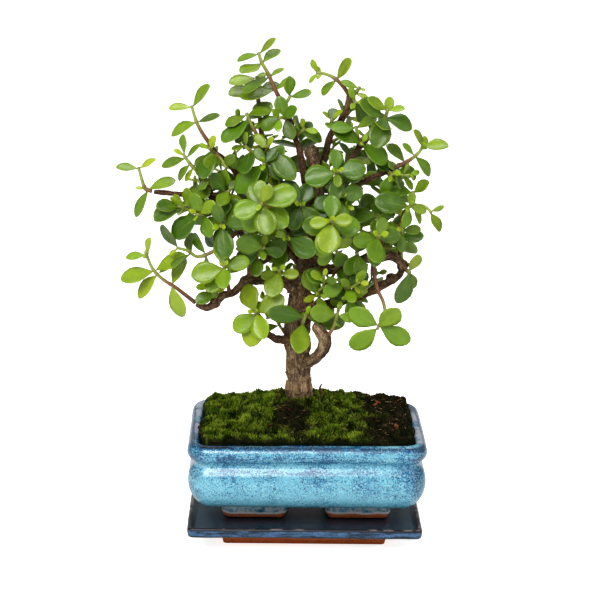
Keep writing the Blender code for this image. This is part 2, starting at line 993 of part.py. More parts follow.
def make_pot(collection, cutters):
    bm = bmesh.new()
    loft(bm, inset_levels(POT_HALF, POT_CORNER, POT_PROFILE, POT_MIDDLE))
    warp_pot(bm)
    glaze = material("pot_glaze", (0.12, 0.42, 0.66), 0.16)
    pot = object_from_bmesh("pot", bm, collection, glaze)
    foot_low, foot_high = SAUCER_FLOOR + GAP, POT_BASE + 3.0
    profile = ((foot_low, 1.4), (foot_low + 2.0, 0.4), (foot_high, 0.0))
    for side_x in (-1, 1):
        for side_y in (-1, 1):
            bm = bmesh.new()
            place = (POT_MIDDLE[0] + side_x * FOOT_SPREAD[0], side_y * FOOT_SPREAD[1])
            loft(bm, inset_levels(FOOT_HALF, FOOT_CORNER, profile, place))
            object_from_bmesh("foot", bm, cutters)
    apply_boolean(pot, "UNION", cutters)
    for side in (-1, 1):
        add_cylinder("drain", cutters, POT_MIDDLE[0] + side * DRAIN_SPREAD, 0.0, POT_BASE - 2,
                     POT_FLOOR + 2, DRAIN_RADIUS, 16)
    apply_boolean(pot, "DIFFERENCE", cutters)
    return pot


def add_cylinder(name, collection, x, y, low, high, radius, sides):
    bm = bmesh.new()
    bmesh.ops.create_cone(
        bm, cap_ends=True, segments=sides, radius1=radius, radius2=radius, depth=high - low
    )
    bmesh.ops.translate(bm, vec=(x, y, (low + high) / 2), verts=bm.verts)
    return object_from_bmesh(name, bm, collection)


def make_drain_mesh(name, x, look, collection):
    """A square of plastic mesh: a grid with every second cell open, thickened."""
    bm = bmesh.new()
    bmesh.ops.create_grid(
        bm, x_segments=MESH_CELLS, y_segments=MESH_CELLS, size=MESH_SIDE / 2
    )
    cell = MESH_SIDE / MESH_CELLS
    holes = []
    for face in bm.faces:
        middle = face.calc_center_median()
        column = int((middle.x + MESH_SIDE / 2) // cell)
        row = int((middle.y + MESH_SIDE / 2) // cell)
        if column % 2 and row % 2:
            holes.append(face)
    bmesh.ops.delete(bm, geom=holes, context="FACES")
    bmesh.ops.solidify(bm, geom=bm.faces[:], thickness=MESH_THICK)
    low = min(vert.co.z for vert in bm.verts)
    lift = POT_FLOOR + GAP - low
    bmesh.ops.translate(bm, vec=(x, 0.0, lift), verts=bm.verts)
    return object_from_bmesh(name, bm, collection, look)


def mound(x, y):
    """The height of the soil's top, which rises to the trunk."""
    foot = trunk_foot()
    spread = ((x - foot.x) / MOUND_SPREAD[0]) ** 2 + ((y - foot.y) / MOUND_SPREAD[1]) ** 2
    return SOIL_EDGE + SOIL_MOUND * math.exp(-spread)


def moss_relief(x, y):
    """Soft cushions of moss, as waves that cross."""
    waves = math.sin(0.31 * x + 1.3) * math.sin(0.37 * y + 0.4)
    waves += 0.6 * math.sin(0.17 * x - 0.29 * y + 2.1) + 0.4 * math.sin(0.53 * x + 0.21 * y)
    return MOSS_RELIEF * waves


def round_corner(x, y, half_x, half_y, radius):
    """Moves a point of a rectangle so that its corners become round."""
    over_x = abs(x) - (half_x - radius)
    over_y = abs(y) - (half_y - radius)
    if over_x <= 0 or over_y <= 0:
        return x, y
    pull = max(over_x, over_y) / math.hypot(over_x, over_y)
    new_x = half_x - radius + over_x * pull
    new_y = half_y - radius + over_y * pull
    return math.copysign(new_x, x), math.copysign(new_y, y)


def ground_grid(bm, inset, cells):
    """A grid that fills the pot's inside, its outline this far in from the rim's widest line."""
    half_x, half_y = POT_HALF[0] - inset, POT_HALF[1] - inset
    bmesh.ops.create_grid(bm, x_segments=cells[0], y_segments=cells[1], size=1.0)
    for vert in bm.verts:
        flat = round_corner(vert.co.x * half_x, vert.co.y * half_y, half_x, half_y, GROUND_CORNER)
        vert.co.x, vert.co.y = flat[0] + POT_MIDDLE[0], flat[1] + POT_MIDDLE[1]


def make_soil(collection, cutters):
    """The soil fills the pot from just over the drain mesh, its sides a little off the wall."""
    bm = bmesh.new()
    top_inset, low_inset = SOIL_INSET
    ground_grid(bm, top_inset, SOIL_CELLS)
    for vert in bm.verts:
        vert.co.z = mound(vert.co.x, vert.co.y)
    border = [edge for edge in bm.edges if edge.is_boundary]
    sides = bmesh.ops.extrude_edge_only(bm, edges=border)["geom"]
    low_edges = [item for item in sides if isinstance(item, bmesh.types.BMEdge) and item.is_boundary]
    shrink_x = (POT_HALF[0] - low_inset) / (POT_HALF[0] - top_inset)
    shrink_y = (POT_HALF[1] - low_inset) / (POT_HALF[1] - top_inset)
    for item in sides:
        if isinstance(item, bmesh.types.BMVert):
            item.co.x = POT_MIDDLE[0] + (item.co.x - POT_MIDDLE[0]) * shrink_x
            item.co.y = POT_MIDDLE[1] + (item.co.y - POT_MIDDLE[1]) * shrink_y
            item.co.z = POT_FLOOR + 2 * GAP + MESH_THICK
    bmesh.ops.contextual_create(bm, geom=low_edges)
    soil = object_from_bmesh("soil", bm, collection, material("soil", (0.03, 0.018, 0.01), 0.95))
    cut_trunk_hole(soil, cutters)
    return soil


def cut_trunk_hole(obj, cutters):
    foot = trunk_foot()
    hole = TRUNK_RADIUS + GAP + 0.2
    above_moss = SOIL_EDGE + SOIL_MOUND + MOSS_THICK + 8.0
    add_cylinder("trunk_hole", cutters, foot.x, foot.y, TRUNK_FOOT - GAP, above_moss, hole, 24)
    apply_boolean(obj, "DIFFERENCE", cutters)


def make_moss(collection, cutters):
    """The cushion of moss on the soil, with a bumpy top that rounds down at its edge."""
    bm = bmesh.new()
    ground_grid(bm, SOIL_INSET[0], MOSS_CELLS)
    low = bm.faces[:]
    made = bmesh.ops.extrude_face_region(bm, geom=low, use_keep_orig=True)["geom"]
    top = [item for item in made if isinstance(item, bmesh.types.BMVert)]
    top_set = set(top)
    for vert in bm.verts:
        height = mound(vert.co.x, vert.co.y)
        if vert in top_set:
            height += MOSS_THICK + moss_relief(vert.co.x, vert.co.y)
        vert.co.z = height + GAP
    moss = object_from_bmesh("moss", bm, collection, material("moss", (0.1, 0.2, 0.02), 0.9))
    cut_trunk_hole(moss, cutters)
    return moss


def trunk_foot():
    """Where the trunk's centre line stands in the soil."""
    x, y, _ = LIMBS["trunk"][0][0]
    return Vector((x, y, TRUNK_FOOT))


def smooth_line(points, radii, spacing):
    """A smooth line through the points, with a radius at each of its own points."""
    points = [Vector(point) for point in points]
    line, sizes = [], []
    for i in range(len(points) - 1):
        before = points[i - 1] if i else points[0] * 2 - points[1]
        after = points[i + 2] if i + 2 < len(points) else points[-1] * 2 - points[-2]
        start, end = points[i], points[i + 1]
        steps = max(1, round((end - start).length / spacing))
        for step in range(steps):
            t = step / steps
            bend = (
                start * 2
                + (end - before) * t
                + (before * 2 - start * 5 + end * 4 - after) * t * t
                + (start * 3 - before - end * 3 + after) * t * t * t
            )
            line.append(bend / 2)
            sizes.append(radii[i] + (radii[i + 1] - radii[i]) * t)
    return line + [points[-1]], sizes + [radii[-1]]


def tube(name, line, sizes, sides, collection, look=None):
    """A tube along the line, as a mesh with closed ends, made from a curve with a bevel."""
    curve = bpy.data.curves.new(name, "CURVE")
    curve.dimensions = "3D"
    curve.bevel_depth = MM
    curve.bevel_resolution = (sides - 4) // 2
    curve.use_fill_caps = True
    spline = curve.splines.new("POLY")
    spline.points.add(len(line) - 1)
    for point, place, size in zip(spline.points, line, sizes):
        point.co = (*(place * MM), 1.0)
        point.radius = size
    source = bpy.data.objects.new(name, curve)
    collection.objects.link(source)
    graph = bpy.context.evaluated_depsgraph_get()
    mesh = bpy.data.meshes.new_from_object(source.evaluated_get(graph))
    bpy.data.objects.remove(source, do_unlink=True)
    bpy.data.curves.remove(curve)
    bm = bmesh.new()
    bm.from_mesh(mesh)
    bmesh.ops.remove_doubles(bm, verts=bm.verts, dist=1e-6)
    bmesh.ops.recalc_face_normals(bm, faces=bm.faces)
    bm.to_mesh(mesh)
    bm.free()
    mesh.name = name
    obj = bpy.data.objects.new(name, mesh)
    collection.objects.link(obj)
    if look:
        mesh.materials.append(look)
    return obj


def nearest_on_lines(point, lines):
    """The nearest point of several centre lines."""
    best, found = math.inf, point
    for line in lines:
        for a, b in zip(line, line[1:]):
            along = b - a
            share = max(0.0, min(1.0, (point - a).dot(along) / max(1e-9, along.length_squared)))
            place = a + along * share
            if (place - point).length < best:
                best, found = (place - point).length, place
    return found


def make_trunk(collection, cutters):
    """The trunk and its woody limbs, joined in one body, and their centre lines."""
    bark = material("bark", (0.2, 0.13, 0.08), 0.85)
    lines, trunk = [], None
    for name, (points, radii) in LIMBS.items():
        points = [Vector(point) for point in points]
        if name == "trunk":
            points, radii = [trunk_foot(), *points], [TRUNK_RADIUS, *radii]
            line, sizes = smooth_line(points, radii, TRUNK_STEP)
            trunk = tube("trunk", line, sizes, TRUNK_SIDES, collection, bark)
        else:
            points[0] = nearest_on_lines(points[0], lines)
            line, sizes = smooth_line(points, radii, LIMB_STEP)
            tube(name, line, sizes, LIMB_SIDES, cutters)
        lines.append(line)
    apply_boolean(trunk, "UNION", cutters)
    return trunk, lines


def tree_of(obj):
    """The surface of a mesh object in millimetres, for finding what is near or crosses it."""
    points = [vert.co / MM for vert in obj.data.vertices]
    return BVHTree.FromPolygons(points, [face.vertices[:] for face in obj.data.polygons])


def clear_of(place, surface, distance):
    """Whether a point lies outside a surface, at least this far from it.

    Outside, past a sharp edge, the nearest face can look a little away from the point.
    """
    hit, normal, _, gap = surface.find_nearest(place)
    return gap >= distance and (place - hit).dot(normal) > -0.2 * gap


def seated(line, sizes, wood):
    """The line from where its tube first clears the wood by the gap that touching pieces keep."""
    step, reach = 0.25, 16.0
    path = [(place, size) for place, size in zip(*densified(line, sizes, step))]
    first = 0
    for i in range(min(len(path) - 1, int(reach / step))):
        place, size = path[i]
        tangent = (path[i + 1][0] - place).normalized()
        side = tangent.orthogonal().normalized()
        other = tangent.cross(side)
        ring = [
            place + (side * math.cos(a) + other * math.sin(a)) * size
            for a in (math.tau * k / 8 for k in range(8))
        ]
        if not all(clear_of(point, wood, GAP) for point in [place, *ring]):
            first = i + 1
    start = path[first][0]
    kept = [(p, s) for p, s in zip(line, sizes) if after_start(p, line, start)]
    return [start] + [p for p, _ in kept], [path[first][1]] + [s for _, s in kept]


def densified(line, sizes, step):
    places, widths = [], []
    for (a, b), (s, e) in zip(zip(line, line[1:]), zip(sizes, sizes[1:])):
        count = max(1, math.ceil((b - a).length / step))
        for k in range(count):
            places.append(a.lerp(b, k / count))
            widths.append(s + (e - s) * k / count)
    return places + [line[-1]], widths + [sizes[-1]]


def distance_along(line, place):
    """How far along the line the point nearest to a place lies."""
    best, found, done = math.inf, 0.0, 0.0
    for a, b in zip(line, line[1:]):
        along = b - a
        share = max(0.0, min(1.0, (place - a).dot(along) / max(1e-9, along.length_squared)))
        gap = (a + along * share - place).length
        if gap < best:
            best, found = gap, done + along.length * share
        done += along.length
    return found


def after_start(place, line, start):
    return distance_along(line, place) > distance_along(line, start) + 1.0


def line_length(line):
    return sum((b - a).length for a, b in zip(line, line[1:]))


def point_from_tip(line, distance):
    """The point this far back from the line's tip, and the direction of the line there."""
    left = distance
    for a, b in zip(line[::-1], line[-2::-1]):
        length = (a - b).length
        if left <= length:
            return a.lerp(b, left / length), (a - b).normalized()
        left -= length
    return line[0].copy(), (line[1] - line[0]).normalized()


def side_axes(tangent):
    """Across the line to its left as seen from the front, and the axis square to both."""
    left = Vector((-tangent.z, 0.0, tangent.x)) + Vector((-1.5, 0.0, 0.0)) * abs(tangent.y) ** 4
    left = (left - tangent * left.dot(tangent)).normalized()
    return left, tangent.cross(left)


def leaf_template(rings):
    """A ball of three sides between two poles, one edge its keel: its points, and its faces."""
    bm = bmesh.new()
    bmesh.ops.create_uvsphere(bm, u_segments=3, v_segments=rings, radius=1.0)
    turn = Matrix.Rotation(math.pi, 3, "Z")
    bmesh.ops.rotate(bm, cent=(0.0, 0.0, 0.0), matrix=turn, verts=bm.verts)
    bm.verts.ensure_lookup_table()
    points = [vert.co.copy() for vert in bm.verts]
    faces = [[vert.index for vert in face.verts] for face in bm.faces]
    bm.free()
    return points, faces


def leaf_outline(t):
    """Half the blade's width at a share of its length: a narrow foot, widest past the middle."""
    widest = 0.6
    if t < widest:
        return math.sin(math.pi / 2 * t / widest) ** 1.1
    return math.sqrt(max(0.0, 1 - ((t - widest) / (1 - widest)) ** 2))


def blade_ratio(length):
    """The width of a blade for its length: young leaves are spoons, old ones nearly round."""
    grown = max(0.0, min(1.0, (length - 10) / 8))
    return 0.64 + 0.24 * grown - 0.04 * max(0.0, length - 20)


def leaf_points(template, leaf, swell=0.0):
    """The template's points laid out as this leaf, fattened all round by the swell."""
    length = leaf["length"] + swell
    half_width = leaf["width"] / 2 + swell
    half_thick = (LEAF_THICK + THICK_PER_LENGTH * leaf["length"]) / 2
    axis, normal = leaf["axis"], leaf["normal"]
    across = normal.cross(axis)
    placed = []
    for point in template:
        t = (1 + point.z) / 2
        round_x, round_y = point.x, point.y
        around = math.hypot(round_x, round_y)
        if around > 1e-6:
            round_x, round_y = round_x / around, round_y / around
        width = half_width * leaf_outline(t)
        thick = half_thick * leaf_outline(t) ** 0.5 + swell
        rise = round_y * thick + leaf["cup"] * width * round_x * round_x
        rise -= leaf["curl"] * leaf["length"] * t * t
        placed.append(leaf["base"] + axis * (t * length) + across * (round_x * width) + normal * rise)
    return placed


def plan_leaf(line, pair, side, change, draws):
    """The frame and size of one leaf of a pair."""
    distance, left_length, right_length, turn, left_lean, right_lean = pair
    distance = min(distance, line_length(line) - STEM_FOOT)
    place, tangent = point_from_tip(line, distance)
    root, _ = point_from_tip(line, distance + LEAF_ROOT)
    left, other = side_axes(tangent)
    turn = math.radians(turn + change[0] + draws["turn"])
    lean = (left_lean if side > 0 else right_lean) + change[1] + draws["lean"]
    lean = math.radians(lean)
    out = (left * math.cos(turn) + other * math.sin(turn)) * side
    axis = tangent * math.cos(lean) + out * math.sin(lean)
    from_middle = place - CROWN_MIDDLE
    outer = min(1.0, math.hypot(from_middle.x, from_middle.z) / CROWN_REACH) ** 2
    light = from_middle.normalized() + LIGHT
    share = draws["light"] * (1 - 0.4 * outer)
    normal = tangent * (1 - share) + light * share
    if lean > math.pi / 2 or normal.cross(axis).length < 0.2:
        normal = normal - out * 0.3
    normal = (normal - axis * normal.dot(axis)).normalized()
    length = (left_length if side > 0 else right_length) * change[2]
    return {
        "base": root + out * 0.3,
        "axis": axis,
        "normal": normal,
        "length": length,
        "width": length * (blade_ratio(length) + draws["ratio"]) * (1 - 0.1 * outer),
        "curl": draws["curl"],
        "cup": draws["cup"],
    }


def leaf_draws(random_source):
    return {
        "turn": random_source.uniform(-7, 7),
        "lean": random_source.uniform(-5, 5),
        "light": random_source.uniform(0.45, 0.8),
        "ratio": random_source.uniform(-0.04, 0.06),
        "curl": random_source.uniform(-0.02, 0.1),
        "cup": random_source.uniform(0.05, 0.2),
    }


def outer_faces(template, faces):
    """The faces past the leaf's foot, which is free to touch its neighbours at the stem."""
    return [face for face in faces if all(template[i].z > -0.5 for i in face)]


def fits(surfaces, own, others):
    """Whether a leaf crosses no other spray, and its outer part no leaf of its own spray."""
    whole, outer = surfaces
    if any(whole.overlap(other) for other in others):
        return False
    return not any(outer.overlap(leaf) for leaf in own)


def near(a, b, reach):
    return (a - b).length < reach


def spray_stems(cutters, wood, wood_lines):
    """Every spray's tubes, in the cutters' collection, with their centre lines and surfaces."""
    stems = {}
    for name, sprigs in SPRAYS.items():
        lines, parts = [], []
        for number, (points, _) in enumerate(sprigs):
            points = [Vector(point) for point in points]
            points[0] = nearest_on_lines(points[0], lines[:1] or wood_lines)
            base = SPRIG_RADIUS if number else LEADER_RADIUS
            shares = [i / (len(points) - 1) for i in range(len(points))]
            radii = [base + (STEM_TIP_RADIUS - base) * share for share in shares]
            line, sizes = smooth_line(points, radii, STEM_STEP)
            if not number:
                line, sizes = seated(line, sizes, wood)
            lines.append(line)
            sides = SPRIG_SIDES if number else LEADER_SIDES
            parts.append(tube(name, line, sizes, sides, cutters))
        stems[name] = (lines, parts, [tree_of(part) for part in parts])
    return stems


def plan_sprays(stems, wood):
    """The leaves of every spray, each turned, bent or made smaller until it is clear."""
    templates = leaf_template(SMALL_RINGS), leaf_template(LEAF_RINGS)
    random_source = random.Random(SEED)
    placed, plans = [], {}
    for name, sprigs in SPRAYS.items():
        lines = stems[name][0]
        others = [wood] + [tree for other in stems if other != name for tree in stems[other][2]]
        own, plans[name] = [], []
        for line, (_, pairs) in zip(lines, sprigs):
            for pair in pairs:
                for side in (1, -1):
                    draws = leaf_draws(random_source)
                    if not pair[1 if side > 0 else 2]:
                        continue
                    leaf = clear_leaf(line, pair, side, draws, templates, (own, others, placed))
                    if leaf:
                        plans[name].append(leaf)
        placed.extend(own)
    return plans


def clear_leaf(line, pair, side, draws, templates, around):
    """The first try of a leaf that is clear of what is around it, or None."""
    own, others, placed = around
    for change in LEAF_TRIES:
        leaf = plan_leaf(line, pair, side, change, draws)
        shape, faces = templates[leaf["length"] > SMALL_LEAF]
        points = leaf_points(shape, leaf, LEAF_CLEARANCE)
        whole = BVHTree.FromPolygons(points, faces)
        outer = BVHTree.FromPolygons(points, outer_faces(shape, faces))
        middle = leaf["base"] + leaf["axis"] * leaf["length"] / 2
        close = [tree for spot, tree, _ in placed if near(spot, middle, LEAF_REACH)]
        if fits((whole, outer), [tree for _, _, tree in own], others + close):
            exact = leaf_points(shape, leaf)
            own.append((
                middle,
                BVHTree.FromPolygons(exact, faces),
                BVHTree.FromPolygons(exact, outer_faces(shape, faces)),
            ))
            leaf["points"], leaf["faces"] = exact, faces
            return leaf
    return None


def make_sprays(collection, cutters, wood, wood_lines):
    """One node for each leafy spray: its stems and leaves joined in one body."""
    stems = spray_stems(cutters, wood, wood_lines)
    plans = plan_sprays(stems, wood)
    joining = new_collection("joining", cutters)
    green = material("leaf", (0.16, 0.36, 0.03), 0.35)
    for name, (_, parts, _) in stems.items():
        for part in parts:
            cutters.objects.unlink(part)
            (collection if part is parts[0] else joining).objects.link(part)
        parts[0].name = name
        parts[0].data.materials.append(green)
        for leaf in plans[name]:
            mesh = bpy.data.meshes.new("leaf")
            mesh.from_pydata([point * MM for point in leaf["points"]], [], leaf["faces"])
            joining.objects.link(bpy.data.objects.new("leaf", mesh))
        apply_boolean(parts[0], "UNION", joining)
    bpy.data.collections.remove(joining)


def main():
    clear_scene()
    scene = bpy.context.scene
    collection = new_collection(COLLECTION, scene.collection)
    cutters = new_collection(CUTTERS, scene.collection)
    make_saucer(collection)
    make_pot(collection, cutters)
    plastic = material("drain_mesh", (0.02, 0.02, 0.02), 0.5)
    for name, side in (("drain_mesh_left", -1), ("drain_mesh_right", 1)):
        make_drain_mesh(name, POT_MIDDLE[0] + side * DRAIN_SPREAD, plastic, collection)
    make_soil(collection, cutters)
    make_moss(collection, cutters)
    trunk, wood_lines = make_trunk(collection, cutters)
    make_sprays(collection, cutters, tree_of(trunk), wood_lines)
    bpy.data.collections.remove(cutters)


main()
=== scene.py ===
"""Looks for the dwarf jade bonsai: fine leaves, bark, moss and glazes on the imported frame.

Lengths are in millimetres, as in the part's source, and become metres where a mesh is made. The
limbs, the sprays and the rule that lays out the leaves are the part's own, so each fine leaf grows
where its solid does. The front of the tree looks towards -Y.
"""

import json
import math
import random

import bmesh
import bpy
import numpy as np
from mathutils import Matrix, Vector, noise
from mathutils.bvhtree import BVHTree

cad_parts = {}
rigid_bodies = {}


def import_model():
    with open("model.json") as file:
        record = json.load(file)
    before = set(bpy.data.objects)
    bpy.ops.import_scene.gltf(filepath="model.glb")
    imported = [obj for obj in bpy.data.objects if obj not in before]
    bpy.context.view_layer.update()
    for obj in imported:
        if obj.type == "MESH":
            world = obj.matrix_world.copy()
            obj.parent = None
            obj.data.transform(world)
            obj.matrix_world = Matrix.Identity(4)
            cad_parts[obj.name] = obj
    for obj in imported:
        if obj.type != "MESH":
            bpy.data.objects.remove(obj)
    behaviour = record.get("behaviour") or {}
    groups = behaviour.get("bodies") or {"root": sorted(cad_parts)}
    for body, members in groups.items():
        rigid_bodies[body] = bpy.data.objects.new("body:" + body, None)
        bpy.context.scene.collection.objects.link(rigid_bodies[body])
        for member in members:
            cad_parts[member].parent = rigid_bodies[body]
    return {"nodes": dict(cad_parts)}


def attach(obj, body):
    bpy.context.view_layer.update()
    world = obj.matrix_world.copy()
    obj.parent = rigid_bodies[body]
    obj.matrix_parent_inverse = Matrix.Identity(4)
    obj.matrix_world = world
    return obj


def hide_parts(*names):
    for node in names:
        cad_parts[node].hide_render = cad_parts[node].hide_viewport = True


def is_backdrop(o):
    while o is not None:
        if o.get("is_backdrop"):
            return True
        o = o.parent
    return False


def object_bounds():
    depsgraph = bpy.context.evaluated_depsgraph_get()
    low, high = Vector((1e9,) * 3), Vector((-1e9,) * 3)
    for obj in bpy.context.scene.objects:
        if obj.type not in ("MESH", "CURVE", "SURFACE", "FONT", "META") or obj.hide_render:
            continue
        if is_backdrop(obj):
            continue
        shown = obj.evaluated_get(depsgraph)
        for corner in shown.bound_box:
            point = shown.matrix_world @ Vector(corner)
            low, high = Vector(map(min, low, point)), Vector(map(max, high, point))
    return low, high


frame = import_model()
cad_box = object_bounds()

MM = 0.001
GAP = 0.3
SEED = 11

# The part's own sizes: saucer, pot, ground, trunk and leaves
SAUCER_HALF = (73.5, 56.0)
SAUCER_CORNER = 3.0
SAUCER_FLOOR = 15.0
POT_MIDDLE = (1.2, 0.0)
POT_HALF = (75.5, 55.5)
POT_CORNER = 15.0
POT_BASE = 27.0
POT_FLOOR = 35.0
RIM_TOP = 70.6
POT_WARP = 0.7
POT_PROFILE = (
    (POT_BASE, 16.0), (28.2, 11.0), (31.5, 6.2), (37.0, 2.4), (44.0, 0.6), (50.5, 1.2),
    (54.5, 3.2), (57.0, 4.4), (59.2, 3.2), (61.4, 1.0), (64.5, 0.0), (67.6, 0.8),
    (69.8, 2.6), (RIM_TOP, 5.0), (69.8, 7.6), (67.5, 8.4), (POT_FLOOR, 12.0),
)
FOOT_HALF = (21.5, 8.5)
FOOT_CORNER = 6.0
FOOT_SPREAD = (33.0, 22.0)
SOIL_EDGE = 66.5
SOIL_MOUND = 12.5
MOUND_SPREAD = (46.0, 30.0)
MOSS_THICK = 8.6
MOSS_RELIEF = 1.1
GROUND_INSET = 9.2
GROUND_CORNER = 8.0
TRUNK_FOOT = 48.0
TRUNK_RADIUS = 8.8
TRUNK_STEP = 15.0
LIMB_STEP = 12.0
CROWN_MIDDLE = Vector((0.0, 8.0, 215.0))
CROWN_REACH = 95.0
LIGHT = Vector((0.0, -0.9, 0.5))
LEADER_RADIUS = 1.4
SPRIG_RADIUS = 1.15
STEM_TIP_RADIUS = 0.85
LEADER_SIDES = 6
SPRIG_SIDES = 4
STEM_STEP = 12.0
LEAF_ROOT = 1.0
LEAF_THICK = 1.5
THICK_PER_LENGTH = 0.03
STEM_FOOT = 2.5
LEAF_CLEARANCE = 0.4
LEAF_REACH = 34.0
LEAF_RINGS = 4
SMALL_RINGS = 3
SMALL_LEAF = 16.5
LEAF_TRIES = (
    (0, 0, 1.0), (0, 12, 1.0), (0, -12, 1.0), (15, 0, 1.0), (-15, 0, 1.0), (0, 25, 0.9),
    (0, -25, 0.9), (20, 20, 0.8), (-20, -20, 0.8), (30, 0, 0.75), (-30, 0, 0.75), (0, 0, 0.6),
)

# Finer sizes of the shown pieces
LEAF_MESH = (10, 8)
SMALL_LEAF_MESH = (8, 6)
PLAIN_LENGTH = 12.0
BLADE_SHARE = 0.9
STEM_SIDES_SHOWN = 12
STEM_STEP_SHOWN = 1.6
COLLAR_SWELL = 0.3
COLLAR_REACH = 0.9
BARK_SIDES = 20
BARK_STEP = 3.0
BARK_VOXEL = 0.62
BARK_FURROW = 0.1
OUTLINE_STEPS = 8
WALL_CELL = 7.0
GLAZE_WOBBLE = 0.22
MOSS_CELLS = (178, 124)
MOSS_SPIKE = (0.5, 2.6)
MOSS_OVERHANG = 2.2

# Young shoots in the thick of the crown: x and z of its middle, and its half width and height
CROWN_CORE = (-2.0, 210.0, 72.0, 74.0)
CROWN_FRONT = -45.0
CROWN_BACK = 76.0
SHOOT_REACH = 26.0
SHOOT_GAP = 1.2
SHOOT_KINDS = (
    {
        "count": 22, "tries": 500, "length": (22.0, 38.0), "thick": 1.25, "space": 6.5,
        "leaves": ((6.0, 9.0), (10.0, 14.0), (12.0, 17.0), (12.0, 17.0), (11.0, 15.0)),
        "least": 5, "back": 0.9, "from_y": 14.0, "front": 0.0,
    },
    {
        "count": 60, "tries": 700, "length": (8.0, 17.0), "thick": 1.0, "space": 4.2,
        "leaves": ((5.0, 8.0), (8.0, 12.0), (9.0, 14.0)),
        "least": 3, "back": 0.0, "from_y": 0.0, "front": 0.3,
    },
)

# Sprays of fresh shoots, yellower than the rest
FRESH_SPRAYS = ("spray_24", "spray_28", "spray_39", "spray_43", "spray_42", "spray_41")

# Camera, as the photograph was taken
CAMERA_LENS = 120.0
CAMERA_SENSOR = 36.0
CAMERA_DISTANCE = 1275.0
CAMERA_TARGET = Vector((-4.2, 0.0, 152.0))
CAMERA_PITCH = 13.5
CAMERA_YAW = -0.8
CAMERA_ROLL = 0.8

# What each point of a leaf or a stem carries for its finish
MARKS = ("age", "tone", "across", "along", "upper")

# Where limbs were cut: a place, and the radius of the healed knob
SCARS = (
    ((-7.0, 4.0, 121.0), 4.6), ((2.0, 3.5, 140.0), 4.2), ((-9.0, 4.5, 158.0), 4.4),
    ((8.0, -5.0, 135.0), 5.0), ((12.5, -7.0, 130.5), 3.6), ((2.0, 8.0, 246.0), 5.2),
    ((60.5, 1.0, 175.0), 4.2), ((54.0, 3.0, 166.0), 4.0), ((-39.0, -2.0, 164.0), 4.4),
    ((-58.0, -6.0, 151.0), 3.9), ((24.0, 2.0, 174.0), 4.0), ((39.0, -3.0, 181.0), 4.0),
    ((26.0, 8.0, 281.0), 3.3),
)

# Swollen places where limbs part
BURLS = (((4.0, 8.0, 189.0), 7.4), ((-2.0, 9.0, 166.0), 7.8))

# Scars that are still pale
PALE_SCARS = SCARS[3:9]

# Dead twigs in the moss: x, y, how far they lean, and length
TWIGS = (
    (-14.5, 4.0, -1.0, -0.5, 8.0), (-17.0, 2.0, -1.5, -0.5, 5.0), (12.5, 8.0, -3.0, 0.0, 8.0),
    (17.0, 12.0, -2.0, -1.0, 4.0), (24.5, 16.0, 1.0, -1.0, 5.0), (50.0, -18.0, 3.0, -1.0, 3.5),
    (-9.0, -9.0, -3.0, -2.0, 4.0), (-64.0, -24.0, -4.0, -1.0, 3.5), (33.0, 20.0, 1.5, 0.0, 4.0),
)

# Larger bark chips in the moss: x and y
CHIPS = ((10.0, 13.0), (12.0, 11.0), (35.0, 9.0), (61.0, -38.0), (46.0, 16.0), (-22.0, -30.0))

